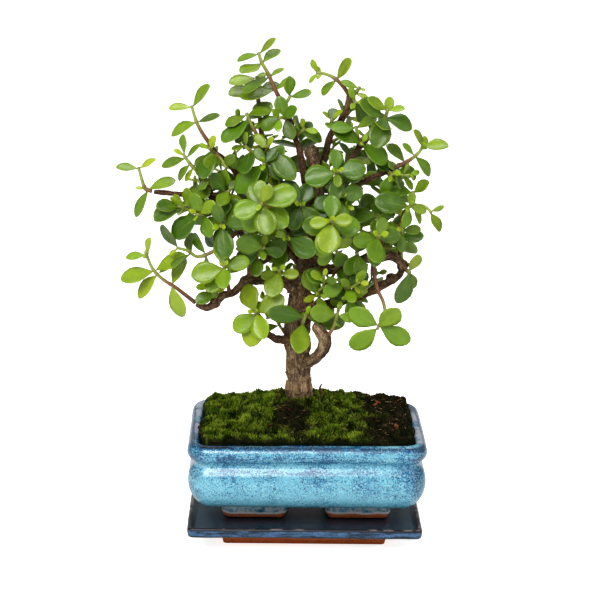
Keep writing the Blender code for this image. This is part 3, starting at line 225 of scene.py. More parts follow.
# Woody limbs, one body with the trunk: points of the centre line, and a radius at each
LIMBS = {
    "trunk": (
        [(-4, 9, 85), (-4, 9, 98), (-5, 9, 117), (-6, 9, 133), (-5, 9, 150), (-2, 9, 163),
         (1, 9, 175), (4, 8, 189), (5, 8, 206), (6, 8, 222), (4, 8, 236), (2, 8, 247)],
        [8.8, 8.6, 8.8, 8.8, 7, 6.4, 7, 5.4, 4.6, 4.2, 4, 4.6],
    ),
    "left": (
        [(-5, 9, 160), (-17, 4, 163), (-32, 0, 165), (-39, -2, 164), (-47, -4, 157), (-53, -5, 156),
         (-59, -6, 150), (-64, -7, 148), (-70, -8, 151)],
        [4.6, 3.9, 3.6, 3.2, 2.6, 3, 2.6, 2.6, 2.1],
    ),
    "left_rise": (
        [(-35, 0, 165), (-35, -1, 175), (-28, 0, 177), (-19, 3, 184), (-12, 4, 193), (-13, 1, 207),
         (-15, -2, 220), (-18, -4, 229), (-24, -6, 243), (-29, -6, 251)],
        [3.2, 3, 2.6, 2.5, 2.4, 2.3, 2.2, 2.1, 1.9, 1.7],
    ),
    "left_fan": (
        [(-36, 0, 170), (-38, -2, 185), (-44, -4, 200), (-52, -5, 211), (-60, -5, 219),
         (-70, -5, 220), (-86, -5, 221), (-97, -5, 222)],
        [2.4, 2.2, 2.1, 2, 2, 1.9, 1.8, 1.8],
    ),
    "left_top": (
        [(-2, 9, 175), (-11, 12, 188), (-24, 12, 203), (-35, 8, 218), (-44, 2, 231), (-52, -2, 242),
         (-58, -4, 247)],
        [3.2, 2.8, 2.4, 2.1, 1.9, 1.7, 1.6],
    ),
    "back_rise": (
        [(-1, 11, 185), (-8, 18, 199), (-18, 22, 216), (-26, 22, 235), (-30, 18, 254),
         (-31, 14, 268)],
        [3, 2.6, 2.2, 1.9, 1.7, 1.5],
    ),
    "high": (
        [(4, 8, 197), (1, 4, 213), (-2, 0, 228), (-4, -2, 239), (-6, -3, 250), (-10, -3, 260),
         (-13, -3, 271), (-18, -3, 280)],
        [3.2, 2.9, 2.5, 2.3, 2.1, 2, 1.9, 1.7],
    ),
    "high_right": (
        [(5, 8, 212), (7, 14, 227), (11, 15, 245), (15, 13, 259), (19, 11, 264), (23, 9, 272),
         (26, 8, 281)],
        [2.8, 2.5, 2.3, 2.1, 2.2, 2.3, 2.7],
    ),
    "right_top": (
        [(4, 8, 199), (13, 7, 214), (18, 5, 227), (24, 1, 239), (28, -1, 246), (34, -3, 254),
         (39, -5, 261)],
        [3.2, 3, 2.8, 2.3, 2.2, 2, 1.8],
    ),
    "right_reach": (
        [(3, 8, 189), (11, 8, 201), (19, 7, 215), (29, 3, 226), (39, 0, 231), (47, -2, 235),
         (53, -3, 238)],
        [3.2, 2.9, 2.7, 2.4, 2.2, 2, 1.8],
    ),
    "right_upper": (
        [(1, 9, 172), (15, 5, 171), (24, 2, 174), (32, -1, 178), (40, -3, 181), (47, -4, 181),
         (53, -3, 182), (58, -1, 179), (61, 1, 175)],
        [5, 3.8, 3.2, 3, 3.1, 3.2, 3, 2.8, 2.7],
    ),
    "right_lower": (
        [(-2, 9, 142), (10, 9, 146), (22, 9, 149), (31, 8, 152), (39, 8, 155), (46, 7, 159),
         (53, 5, 164), (59, 3, 168), (61, 1, 175)],
        [4.4, 3.6, 3.2, 3, 3, 3.1, 2.8, 2.6, 2.4],
    ),
    "fork": (
        [(-4, 6, 107), (2, 2, 111), (7, -2, 115), (11, -4, 121), (12, -5, 128), (8, -5, 134)],
        [4, 4.2, 4.2, 4.4, 4.4, 4.2],
    ),
    "low_left": (
        [(-8, 7, 120), (-13, 3, 125), (-19, 0, 126), (-25, -3, 130), (-31, -5, 132), (-31, -7, 136),
         (-28, -8, 141)],
        [4, 3, 2.7, 2.3, 2.2, 1.7, 1.4],
    ),
    "back_left": (
        [(-2, 9, 170), (-11, 24, 178), (-22, 40, 184), (-33, 54, 189)],
        [3.4, 2.6, 2, 1.6],
    ),
    "back_right": (
        [(1, 9, 175), (10, 26, 181), (19, 42, 184), (29, 56, 189)],
        [3.4, 2.6, 2, 1.6],
    ),
    "back_high": (
        [(5, 8, 212), (3, 24, 220), (-1, 38, 228), (-4, 50, 237)],
        [2.8, 2.3, 1.9, 1.5],
    ),
    "twig": (
        [(61, 1, 175), (67, -1, 177), (73, -2, 180)],
        [1.3, 0.9, 0.7],
    ),
}

# Leafy sprays. Each is a leader and its side sprigs, and each of those has its centre line and its
# pairs of leaves: (distance from the tip, left length, right length, turn, left lean, right lean).
SPRAYS = {
    "spray_01": [
        ([(-60, -5, 251), (-66, -7, 259), (-70, -9, 267), (-73, -10, 277)],
         [(0, 14, 18, 0, 74, 54), (10, 19, 15, -8, 96, 84)]),
    ],
    "spray_02": [
        ([(-19, -3, 282), (-22, -4, 288), (-26, -5, 297), (-30, -6, 304), (-32, -7, 310)],
         [(0, 14, 14, 0, 92, 60), (6, 18, 15, 35, 80, 80), (16, 20, 11, 20, 85, 85),
          (25, 22, 13, -10, 78, 78)]),
    ],
    "spray_03": [
        ([(-31, 14, 270), (-32, 10, 278), (-32, 6, 286), (-33, 3, 294)],
         [(0, 18, 7, 20, 85, 85), (4, 18, 11, 70, 80, 80), (10, 19, 15, 20, 85, 85),
          (17, 19, 16, 100, 80, 80)]),
    ],
    "spray_04": [
        ([(-17, -3, 278), (-14, -7, 280), (-12, -9, 284)],
         [(0, 14, 14, 0, 35, 50)]),
    ],
    "spray_05": [
        ([(-13, -3, 269), (-15, -9, 270), (-17, -14, 271), (-19, -18, 271)],
         [(0, 10, 10, 80, 40, 40), (4, 15, 14, 0, 75, 75), (9, 14, 14, 90, 85, 85)]),
    ],
    "spray_06": [
        ([(-9, -3, 258), (-6, -8, 261), (-3, -11, 264)],
         [(0, 8, 9, 0, 45, 45), (4, 16, 16, 20, 78, 78)]),
    ],
    "spray_07": [
        ([(-30, -6, 252), (-32, -8, 258), (-36, -10, 266), (-39, -12, 273)],
         [(0, 15, 15, 10, 90, 110), (3, 24, 11, 40, 100, 100), (11, 14, 15, 20, 90, 90)]),
    ],
    "spray_08": [
        ([(-25, -6, 243), (-32, -12, 247), (-37, -16, 251), (-40, -18, 254)],
         [(0, 9, 10, 0, 45, 45), (5, 19, 16, 50, 75, 75)]),
    ],
    "spray_09": [
        ([(-27, -6, 247), (-26, -14, 251), (-26, -19, 254)],
         [(0, 9, 8, 45, 35, 35), (3, 12, 26, -52, 95, 95)]),
    ],
    "spray_10": [
        ([(25, 8, 282), (21, 6, 288), (16, 4, 293), (10, 3, 296), (4, 2, 297)],
         [(0, 8, 9, 0, 52, 52), (2.5, 6, 7, 60, 55, 55), (13, 13, 16, 0, 88, 72)]),
    ],
    "spray_11": [
        ([(28, 7, 282), (30, 4, 286), (31, 2, 288)],
         [(0, 12, 4, 0, 85, 85), (5, 0, 9, 0, 80, 80)]),
        ([(28, 7, 282), (28, 1, 280), (29, -4, 279)],
         [(0, 7, 7, 30, 40, 40), (2.5, 10, 16, -60, 95, 95)]),
    ],
    "spray_12": [
        ([(20, 11, 265), (16, 5, 265), (14, 1, 266), (14, 0, 269)],
         [(0, 8, 9, 10, 45, 45), (3, 12, 13, 80, 75, 75)]),
    ],
    "spray_13": [
        ([(40, -5, 263), (44, -8, 268), (47, -11, 272), (48, -15, 277)],
         [(0, 15, 11, 0, 65, 65), (4, 22, 12, 80, 120, 60), (7, 20, 19, 10, 85, 85),
          (13, 19, 13, 90, 80, 80)]),
    ],
    "spray_14": [
        ([(31, -3, 252), (30, -6, 259), (29, -8, 265)],
         [(0, 16, 14, 10, 75, 75)]),
        ([(31, -4, 253), (32, -10, 254), (33, -13, 256)],
         [(0, 6, 6, 80, 35, 35), (2, 19, 20, -15, 95, 95)]),
    ],
    "spray_15": [
        ([(55, -3, 238), (60, -5, 242), (64, -7, 245), (68, -9, 249), (71, -10, 254)],
         [(0, 12, 16, 0, 60, 52), (2, 10, 10, 90, 40, 40), (8, 11, 16, 0, 95, 95),
          (16, 16, 13, 0, 95, 95), (23, 13, 13, 70, 90, 90)]),
    ],
    "spray_16": [
        ([(50, -2, 236), (51, -9, 236), (52, -14, 236)],
         [(0, 7, 7, 45, 35, 35), (3, 14, 13, 75, 95, 95), (6, 13, 12, -30, 95, 95)]),
    ],
    "spray_17": [
        ([(60, 1, 180), (59, 0, 189), (58, -3, 200), (60, -6, 210), (64, -8, 215), (70, -9, 216),
          (74, -11, 215), (77, -13, 212)],
         [(0, 9, 14, 0, 62, 8), (12, 0, 12, 0, 82, 82), (40, 0, 15, 0, 85, 85)]),
        ([(66, -8, 215), (66, -10, 221), (65, -11, 225)],
         [(0, 18, 13, -20, 60, 60)]),
        ([(62, -7, 212), (63, -14, 216), (63, -19, 217)],
         [(0, 7, 7, 60, 35, 35), (3, 22, 11, -8, 95, 95), (5, 13, 10, 80, 90, 90)]),
        ([(58, -2, 196), (59, -9, 199), (59, -13, 202)],
         [(0, 7, 7, 45, 35, 35), (3, 13, 12, 10, 90, 90), (5, 13, 9, 85, 95, 95)]),
    ],
    "spray_18": [
        ([(42, -6, 179), (42, -9, 174), (43, -10, 168), (45, -12, 161), (48, -14, 155),
          (49, -17, 149), (46, -24, 144), (44, -32, 142)],
         [(0, 23, 20, 32, 88, 88), (2.5, 21, 22, -45, 90, 90)]),
    ],
    "spray_19": [
        ([(62, 1, 173), (64, -2, 172), (65, -5, 172)],
         [(0, 14, 22, -85, 70, 98), (3, 13, 0, 130, 85, 85)]),
    ],
    "spray_20": [
        ([(40, -4, 182), (41, -14, 190), (43, -24, 197), (44, -30, 201)],
         [(0, 7, 7, 0, 35, 35), (3, 19, 13, 85, 80, 80), (6, 16, 15, 20, 85, 85),
          (13, 16, 16, 95, 85, 85)]),
    ],
    "spray_21": [
        ([(32, -2, 180), (31, -10, 185), (31, -14, 186)],
         [(0, 15, 14, 105, 85, 85), (2.5, 15, 12, 65, 90, 90)]),
    ],
    "spray_22": [
        ([(48, -2, 182), (47, 2, 191), (45, 2, 200), (44, 0, 208)],
         [(0, 21, 11, 0, 88, 88), (3, 14, 13, 90, 60, 60)]),
    ],
    "spray_23": [
        ([(27, 7, 153), (27, -2, 155), (26, -8, 156)],
         [(0, 6, 6, 0, 30, 30), (2.5, 15, 15, 100, 95, 95), (5, 13, 10, 10, 95, 95)]),
        ([(27, -1, 155), (25, -7, 161), (24, -11, 165)],
         [(0, 15, 16, 15, 80, 80), (3, 13, 13, 100, 80, 80)]),
    ],
    "spray_24": [
        ([(9, 7, 195), (12, -4, 197), (14, -20, 203), (14, -36, 210), (13, -44, 213)],
         [(0, 6, 6, 20, 30, 30), (2.5, 13, 13, 0, 85, 85), (6, 20, 16, 85, 85, 85),
          (10, 20, 13, 70, 95, 95), (18, 18, 18, 0, 85, 85), (27, 19, 16, 80, 90, 90)]),
        ([(12, -8, 195), (15, -14, 190), (18, -19, 188)],
         [(0, 15, 16, 0, 85, 85), (3, 14, 13, 90, 80, 80)]),
    ],
    "spray_25": [
        ([(16, 5, 225), (16, -6, 230), (17, -18, 236), (17, -30, 241)],
         [(0, 6, 7, 0, 30, 30), (2.5, 10, 14, 95, 80, 80), (5, 20, 18, 12, 88, 88),
          (9, 16, 13, 85, 95, 95), (17, 18, 18, 15, 85, 85)]),
    ],
    "spray_26": [
        ([(16, 7, 212), (18, -6, 218), (18, -16, 222), (18, -22, 224)],
         [(0, 7, 7, 0, 35, 35), (3, 16, 16, 20, 85, 85), (7, 16, 15, 100, 85, 85),
          (15, 15, 15, 20, 85, 85)]),
    ],
    "spray_27": [
        ([(-22, -5, 238), (-24, -12, 240), (-27, -20, 243), (-28, -25, 244)],
         [(0, 7, 7, 80, 30, 30), (2.5, 26, 12, 38, 95, 95), (6, 15, 14, -50, 95, 95),
          (12, 15, 15, 40, 85, 85)]),
    ],
    "spray_28": [
        ([(-14, 0, 212), (-18, -12, 214), (-23, -28, 217), (-28, -42, 221), (-29, -50, 224)],
         [(0, 6, 13, 55, 55, 55), (2.5, 18, 22, 12, 88, 88), (5, 19, 15, 98, 88, 88),
          (9, 20, 13, 35, 95, 95), (17, 18, 18, 120, 85, 85), (26, 16, 16, 30, 85, 85)]),
    ],
    "spray_29": [
        ([(2, 8, 206), (-1, -6, 210), (-4, -18, 216), (-5, -26, 219)],
         [(0, 6, 6, 0, 30, 30), (2.5, 19, 15, -50, 90, 90), (6, 16, 15, 60, 88, 88),
          (13, 16, 16, -20, 85, 85)]),
    ],
    "spray_30": [
        ([(-31, -3, 177), (-32, -12, 182), (-29, -20, 189), (-27, -24, 191)],
         [(0, 19, 13, 10, 88, 88), (3, 9, 9, 100, 60, 60), (8, 16, 15, 40, 95, 95),
          (13, 15, 15, 100, 85, 85)]),
    ],
    "spray_31": [
        ([(-12, 3, 194), (-12, -10, 196), (-12, -20, 197), (-13, -28, 198)],
         [(0, 6, 6, 0, 20, 20), (4, 8, 20, -35, 85, 85), (12, 16, 16, 45, 85, 85)]),
    ],
    "spray_32": [
        ([(-58, -6, 220), (-63, -10, 228), (-68, -13, 235), (-74, -15, 242), (-78, -16, 248)],
         [(0, 7, 13, 0, 30, 30), (2.5, 16, 12, 0, 75, 75), (7, 13, 0, 0, 110, 110),
          (10, 10, 12, 30, 100, 100), (20, 15, 15, 80, 85, 85), (28, 15, 15, 0, 85, 85)]),
        ([(-59, -7, 221), (-53, -15, 223), (-49, -20, 226)],
         [(0, 14, 15, 80, 80, 80), (3, 16, 14, 0, 85, 85)]),
    ],
    "spray_33": [
        ([(-55, -3, 244), (-59, -10, 248), (-62, -15, 252)],
         [(0, 7, 7, -30, 50, 50), (2, 21, 10, 62, 92, 92)]),
        ([(-58, -9, 248), (-54, -15, 244), (-51, -20, 240)],
         [(0, 13, 14, 20, 80, 80), (4, 15, 14, 110, 85, 85)]),
    ],
    "spray_34": [
        ([(-98, -5, 223), (-102, -6, 224), (-104, -8, 230), (-106, -9, 238)],
         [(0, 14, 12, 0, 68, 68), (14, 6, 0, 0, 60, 60), (16, 19, 18, 0, 90, 150)]),
    ],
    "spray_35": [
        ([(-60, -6, 217), (-65, -10, 214), (-71, -14, 212), (-77, -18, 214), (-81, -20, 216)],
         [(0, 15, 9, 0, 25, 25), (2, 19, 21, 0, 42, 108), (4, 11, 12, 80, 60, 60),
          (9, 13, 14, 20, 80, 80), (16, 15, 15, 90, 85, 85)]),
    ],
    "spray_36": [
        ([(-56, -6, 215), (-61, -16, 212), (-65, -26, 212), (-69, -32, 213)],
         [(0, 7, 7, 80, 30, 30), (2.5, 25, 13, 0, 90, 90), (7, 15, 15, 80, 85, 85),
          (16, 18, 16, 0, 85, 85)]),
    ],
    "spray_37": [
        ([(-45, -6, 197), (-51, -14, 192), (-60, -16, 186), (-69, -16, 183), (-75, -17, 187),
          (-82, -18, 189)],
         [(0, 7, 18, 0, 50, 50), (9, 18, 15, 50, 70, 70), (19, 15, 15, 0, 80, 80),
          (28, 18, 18, 50, 85, 85)]),
    ],
    "spray_38": [
        ([(-47, -5, 204), (-49, -18, 206), (-53, -32, 207), (-54, -38, 207)],
         [(0, 7, 6, 0, 30, 30), (2.5, 21, 14, 92, 75, 75), (6, 16, 16, 0, 90, 90),
          (15, 16, 16, 60, 85, 85)]),
    ],
    "spray_39": [
        ([(-49, -6, 159), (-50, -16, 166), (-51, -28, 175), (-52, -38, 183)],
         [(0, 4, 6, 0, 30, 30), (2, 16, 18, 90, 78, 78), (4, 21, 16, 12, 88, 88),
          (13, 16, 16, 40, 85, 85)]),
    ],
    "spray_40": [
        ([(-56, -6, 155), (-59, -10, 160), (-62, -13, 164)],
         [(0, 9, 10, 0, 45, 45), (4, 11, 11, 90, 70, 70), (8, 14, 9, 0, 85, 85)]),
    ],
    "spray_41": [
        ([(-71, -8, 152), (-76, -9, 156), (-83, -11, 162), (-91, -14, 168), (-97, -16, 175),
          (-101, -18, 185)],
         [(0, 13, 12, 0, 75, 30), (2, 7, 7, 80, 50, 50), (12, 22, 22, 0, 62, 105),
          (15, 20, 12, 0, 104, 95), (27, 22, 19, 20, 140, 80)]),
    ],
    "spray_42": [
        ([(-29, -9, 142), (-31, -14, 146), (-33, -20, 149)],
         [(0, 6, 6, 0, 30, 30), (2, 18, 20, 100, 85, 85), (4.5, 18, 20, 25, 88, 88),
          (7, 21, 10, 62, 105, 105)]),
    ],
    "spray_43": [
        ([(-15, 3, 165), (-17, -6, 169), (-18, -14, 175)],
         [(0, 6, 7, 0, 35, 35), (2.5, 18, 15, 75, 90, 90), (6, 12, 12, 0, 85, 85)]),
    ],
    "spray_44": [
        ([(-4, 9, 129), (-3, -3, 134), (-2, -8, 140), (0, -12, 146)],
         [(0, 6, 6, 80, 30, 30), (2, 29, 28, 24, 88, 88), (7.5, 23, 9, 85, 95, 95)]),
    ],
    "spray_45": [
        ([(0, 9, 153), (5, 0, 155), (8, -8, 157)],
         [(0, 6, 6, 0, 30, 30), (2, 18, 12, -45, 90, 90), (4, 9, 14, 35, 90, 90)]),
        ([(5, -1, 155), (9, -6, 161), (12, -9, 165)],
         [(0, 15, 16, 10, 80, 80)]),
    ],
    "spray_46": [
        ([(13, -7, 128), (14, -8, 131), (17, -8, 136), (19, -9, 143), (20, -10, 148)],
         [(0, 7, 7, 80, 30, 30), (2.5, 18, 12, 10, 92, 92), (6, 11, 14, 90, 85, 85)]),
    ],
    "spray_47": [
        ([(-34, 55, 190), (-37, 62, 195), (-40, 68, 201)],
         [(0, 10, 10, 20, 35, 35), (4, 18, 18, 110, 70, 70), (9, 20, 20, 20, 85, 85)]),
        ([(-34, 55, 190), (-40, 60, 186), (-46, 64, 184)],
         [(0, 10, 10, 20, 35, 35), (4, 16, 16, 110, 70, 70), (9, 19, 19, 20, 85, 85)]),
    ],
    "spray_48": [
        ([(30, 57, 190), (33, 63, 196), (36, 68, 202)],
         [(0, 10, 10, 20, 35, 35), (4, 18, 18, 110, 70, 70), (9, 20, 20, 20, 85, 85)]),
        ([(30, 57, 190), (35, 60, 186), (41, 64, 183)],
         [(0, 10, 10, 20, 35, 35), (4, 16, 16, 110, 70, 70), (9, 19, 19, 20, 85, 85)]),
    ],
    "spray_49": [
        ([(-4, 51, 238), (-4, 56, 243), (-5, 60, 249)],
         [(0, 10, 10, 20, 35, 35), (4, 18, 18, 110, 70, 70), (9, 20, 20, 20, 82, 82),
          (14, 20, 20, 110, 88, 88)]),
    ],
    "spray_50": [
        ([(-37, 10, 219), (-41, 24, 221), (-45, 34, 224), (-48, 40, 229)],
         [(0, 10, 10, 20, 35, 35), (4, 18, 18, 110, 70, 70), (9, 20, 20, 20, 82, 82),
          (16, 20, 20, 110, 88, 88)]),
    ],
    "spray_51": [
        ([(19, 7, 227), (23, 20, 229), (27, 32, 232), (30, 38, 236)],
         [(0, 10, 10, 20, 35, 35), (4, 18, 18, 110, 70, 70), (9, 20, 20, 20, 82, 82),
          (16, 20, 20, 110, 88, 88)]),
    ],
    "spray_52": [
        ([(54, -1, 181), (54, 12, 183), (54, 24, 185), (55, 32, 188)],
         [(0, 10, 10, 20, 35, 35), (4, 18, 18, 110, 70, 70), (9, 19, 19, 20, 85, 85)]),
    ],
    "spray_53": [
        ([(-54, 0, 211), (-61, 16, 210), (-67, 28, 208), (-71, 36, 209)],
         [(0, 10, 10, 20, 35, 35), (4, 18, 18, 110, 70, 70), (9, 20, 20, 20, 85, 85)]),
    ],
}


def smooth_line(points, radii, spacing):
    """A smooth line through the points, with a radius at each of its own points."""
    points = [Vector(point) for point in points]
    line, sizes = [], []
    for i in range(len(points) - 1):
        before = points[i - 1] if i else points[0] * 2 - points[1]
        after = points[i + 2] if i + 2 < len(points) else points[-1] * 2 - points[-2]
        start, end = points[i], points[i + 1]
        steps = max(1, round((end - start).length / spacing))
        for step in range(steps):
            t = step / steps
            bend = (
                start * 2
                + (end - before) * t
                + (before * 2 - start * 5 + end * 4 - after) * t * t
                + (start * 3 - before - end * 3 + after) * t * t * t
            )
            line.append(bend / 2)
            sizes.append(radii[i] + (radii[i + 1] - radii[i]) * t)
    return line + [points[-1]], sizes + [radii[-1]]


def tube(name, line, sizes, sides, collection, look=None):
    """A tube along the line, as a mesh with closed ends, made from a curve with a bevel."""
    curve = bpy.data.curves.new(name, "CURVE")
    curve.dimensions = "3D"
    curve.bevel_depth = MM
    curve.bevel_resolution = (sides - 4) // 2
    curve.use_fill_caps = True
    spline = curve.splines.new("POLY")
    spline.points.add(len(line) - 1)
    for point, place, size in zip(spline.points, line, sizes):
        point.co = (*(place * MM), 1.0)
        point.radius = size
    source = bpy.data.objects.new(name, curve)
    collection.objects.link(source)
    graph = bpy.context.evaluated_depsgraph_get()
    mesh = bpy.data.meshes.new_from_object(source.evaluated_get(graph))
    bpy.data.objects.remove(source, do_unlink=True)
    bpy.data.curves.remove(curve)
    bm = bmesh.new()
    bm.from_mesh(mesh)
    bmesh.ops.remove_doubles(bm, verts=bm.verts, dist=1e-6)
    bmesh.ops.recalc_face_normals(bm, faces=bm.faces)
    bm.to_mesh(mesh)
    bm.free()
    mesh.name = name
    obj = bpy.data.objects.new(name, mesh)
    collection.objects.link(obj)
    if look:
        mesh.materials.append(look)
    return obj


def nearest_on_lines(point, lines):
    """The nearest point of several centre lines."""
    best, found = math.inf, point
    for line in lines:
        for a, b in zip(line, line[1:]):
            along = b - a
            share = max(0.0, min(1.0, (point - a).dot(along) / max(1e-9, along.length_squared)))
            place = a + along * share
            if (place - point).length < best:
                best, found = (place - point).length, place
    return found


def tree_of(obj):
    """The surface of a mesh object in millimetres, for finding what is near or crosses it."""
    points = [vert.co / MM for vert in obj.data.vertices]
    return BVHTree.FromPolygons(points, [face.vertices[:] for face in obj.data.polygons])


def clear_of(place, surface, distance):
    """Whether a point lies outside a surface, at least this far from it.

    Outside, past a sharp edge, the nearest face can look a little away from the point.
    """
    hit, normal, _, gap = surface.find_nearest(place)
    return gap >= distance and (place - hit).dot(normal) > -0.2 * gap


def seated(line, sizes, wood):
    """The line from where its tube first clears the wood by the gap that touching pieces keep."""
    step, reach = 0.25, 16.0
    path = [(place, size) for place, size in zip(*densified(line, sizes, step))]
    first = 0
    for i in range(min(len(path) - 1, int(reach / step))):
        place, size = path[i]
        tangent = (path[i + 1][0] - place).normalized()
        side = tangent.orthogonal().normalized()
        other = tangent.cross(side)
        ring = [
            place + (side * math.cos(a) + other * math.sin(a)) * size
            for a in (math.tau * k / 8 for k in range(8))
        ]
        if not all(clear_of(point, wood, GAP) for point in [place, *ring]):
            first = i + 1
    start = path[first][0]
    kept = [(p, s) for p, s in zip(line, sizes) if after_start(p, line, start)]
    return [start] + [p for p, _ in kept], [path[first][1]] + [s for _, s in kept]


def densified(line, sizes, step):
    places, widths = [], []
    for (a, b), (s, e) in zip(zip(line, line[1:]), zip(sizes, sizes[1:])):
        count = max(1, math.ceil((b - a).length / step))
        for k in range(count):
            places.append(a.lerp(b, k / count))
            widths.append(s + (e - s) * k / count)
    return places + [line[-1]], widths + [sizes[-1]]


def distance_along(line, place):
    """How far along the line the point nearest to a place lies."""
    best, found, done = math.inf, 0.0, 0.0
    for a, b in zip(line, line[1:]):
        along = b - a
        share = max(0.0, min(1.0, (place - a).dot(along) / max(1e-9, along.length_squared)))
        gap = (a + along * share - place).length
        if gap < best:
            best, found = gap, done + along.length * share
        done += along.length
    return found


def after_start(place, line, start):
    return distance_along(line, place) > distance_along(line, start) + 1.0


def line_length(line):
    return sum((b - a).length for a, b in zip(line, line[1:]))


def point_from_tip(line, distance):
    """The point this far back from the line's tip, and the direction of the line there."""
    left = distance
    for a, b in zip(line[::-1], line[-2::-1]):
        length = (a - b).length
        if left <= length:
            return a.lerp(b, left / length), (a - b).normalized()
        left -= length
    return line[0].copy(), (line[1] - line[0]).normalized()


def side_axes(tangent):
    """Across the line to its left as seen from the front, and the axis square to both."""
    left = Vector((-tangent.z, 0.0, tangent.x)) + Vector((-1.5, 0.0, 0.0)) * abs(tangent.y) ** 4
    left = (left - tangent * left.dot(tangent)).normalized()
    return left, tangent.cross(left)


def leaf_template(rings):
    """A ball of three sides between two poles, one edge its keel: its points, and its faces."""
    bm = bmesh.new()
    bmesh.ops.create_uvsphere(bm, u_segments=3, v_segments=rings, radius=1.0)
    turn = Matrix.Rotation(math.pi, 3, "Z")
    bmesh.ops.rotate(bm, cent=(0.0, 0.0, 0.0), matrix=turn, verts=bm.verts)
    bm.verts.ensure_lookup_table()
    points = [vert.co.copy() for vert in bm.verts]
    faces = [[vert.index for vert in face.verts] for face in bm.faces]
    bm.free()
    return points, faces


def leaf_outline(t):
    """Half the blade's width at a share of its length: a narrow foot, widest past the middle."""
    widest = 0.6
    if t < widest:
        return math.sin(math.pi / 2 * t / widest) ** 1.1
    return math.sqrt(max(0.0, 1 - ((t - widest) / (1 - widest)) ** 2))


def blade_ratio(length):
    """The width of a blade for its length: young leaves are spoons, old ones nearly round."""
    grown = max(0.0, min(1.0, (length - 10) / 8))
    return 0.64 + 0.24 * grown - 0.04 * max(0.0, length - 20)


def leaf_points(template, leaf, swell=0.0):
    """The template's points laid out as this leaf, fattened all round by the swell."""
    length = leaf["length"] + swell
    half_width = leaf["width"] / 2 + swell
    half_thick = (LEAF_THICK + THICK_PER_LENGTH * leaf["length"]) / 2
    axis, normal = leaf["axis"], leaf["normal"]
    across = normal.cross(axis)
    placed = []
    for point in template:
        t = (1 + point.z) / 2
        round_x, round_y = point.x, point.y
        around = math.hypot(round_x, round_y)
        if around > 1e-6:
            round_x, round_y = round_x / around, round_y / around
        width = half_width * leaf_outline(t)
        thick = half_thick * leaf_outline(t) ** 0.5 + swell
        rise = round_y * thick + leaf["cup"] * width * round_x * round_x
        rise -= leaf["curl"] * leaf["length"] * t * t
        placed.append(leaf["base"] + axis * (t * length) + across * (round_x * width) + normal * rise)
    return placed


def plan_leaf(line, pair, side, change, draws):
    """The frame and size of one leaf of a pair."""
    distance, left_length, right_length, turn, left_lean, right_lean = pair
    distance = min(distance, line_length(line) - STEM_FOOT)
    place, tangent = point_from_tip(line, distance)
    root, _ = point_from_tip(line, distance + LEAF_ROOT)
    left, other = side_axes(tangent)
    turn = math.radians(turn + change[0] + draws["turn"])
    lean = (left_lean if side > 0 else right_lean) + change[1] + draws["lean"]
    lean = math.radians(lean)
    out = (left * math.cos(turn) + other * math.sin(turn)) * side
    axis = tangent * math.cos(lean) + out * math.sin(lean)
    from_middle = place - CROWN_MIDDLE
    outer = min(1.0, math.hypot(from_middle.x, from_middle.z) / CROWN_REACH) ** 2
    light = from_middle.normalized() + LIGHT
    share = draws["light"] * (1 - 0.4 * outer)
    normal = tangent * (1 - share) + light * share
    if lean > math.pi / 2 or normal.cross(axis).length < 0.2:
        normal = normal - out * 0.3
    normal = (normal - axis * normal.dot(axis)).normalized()
    length = (left_length if side > 0 else right_length) * change[2]
    return {
        "base": root + out * 0.3,
        "axis": axis,
        "normal": normal,
        "length": length,
        "width": length * (blade_ratio(length) + draws["ratio"]) * (1 - 0.1 * outer),
        "curl": draws["curl"],
        "cup": draws["cup"],
    }


def leaf_draws(random_source):
    return {
        "turn": random_source.uniform(-7, 7),
        "lean": random_source.uniform(-5, 5),
        "light": random_source.uniform(0.45, 0.8),
        "ratio": random_source.uniform(-0.04, 0.06),
        "curl": random_source.uniform(-0.02, 0.1),
        "cup": random_source.uniform(0.05, 0.2),
    }


def outer_faces(template, faces):
    """The faces past the leaf's foot, which is free to touch its neighbours at the stem."""
    return [face for face in faces if all(template[i].z > -0.5 for i in face)]


def fits(surfaces, own, others):
    """Whether a leaf crosses no other spray, and its outer part no leaf of its own spray."""
    whole, outer = surfaces
    if any(whole.overlap(other) for other in others):
        return False
    return not any(outer.overlap(leaf) for leaf in own)


def near(a, b, reach):
    return (a - b).length < reach


def plan_sprays(stems, wood):
    """The leaves of every spray, each turned, bent or made smaller until it is clear."""
    templates = leaf_template(SMALL_RINGS), leaf_template(LEAF_RINGS)
    random_source = random.Random(SEED)
    placed, plans = [], {}
    for name, sprigs in SPRAYS.items():
        lines = stems[name][0]
        others = [wood] + [tree for other in stems if other != name for tree in stems[other][2]]
        own, plans[name] = [], []
        for line, (_, pairs) in zip(lines, sprigs):
            for pair in pairs:
                for side in (1, -1):
                    draws = leaf_draws(random_source)
                    if not pair[1 if side > 0 else 2]:
                        continue
                    leaf = clear_leaf(line, pair, side, draws, templates, (own, others, placed))
                    if leaf:
                        plans[name].append(leaf)
        placed.extend(own)
    return plans


def clear_leaf(line, pair, side, draws, templates, around):
    """The first try of a leaf that is clear of what is around it, or None."""
    own, others, placed = around
    for change in LEAF_TRIES:
        leaf = plan_leaf(line, pair, side, change, draws)
        shape, faces = templates[leaf["length"] > SMALL_LEAF]
        points = leaf_points(shape, leaf, LEAF_CLEARANCE)
        whole = BVHTree.FromPolygons(points, faces)
        outer = BVHTree.FromPolygons(points, outer_faces(shape, faces))
        middle = leaf["base"] + leaf["axis"] * leaf["length"] / 2
        close = [tree for spot, tree, _ in placed if near(spot, middle, LEAF_REACH)]
        if fits((whole, outer), [tree for _, _, tree in own], others + close):
            exact = leaf_points(shape, leaf)
            own.append((
                middle,
                BVHTree.FromPolygons(exact, faces),
                BVHTree.FromPolygons(exact, outer_faces(shape, faces)),
            ))
            leaf["points"], leaf["faces"] = exact, faces
            return leaf
    return None


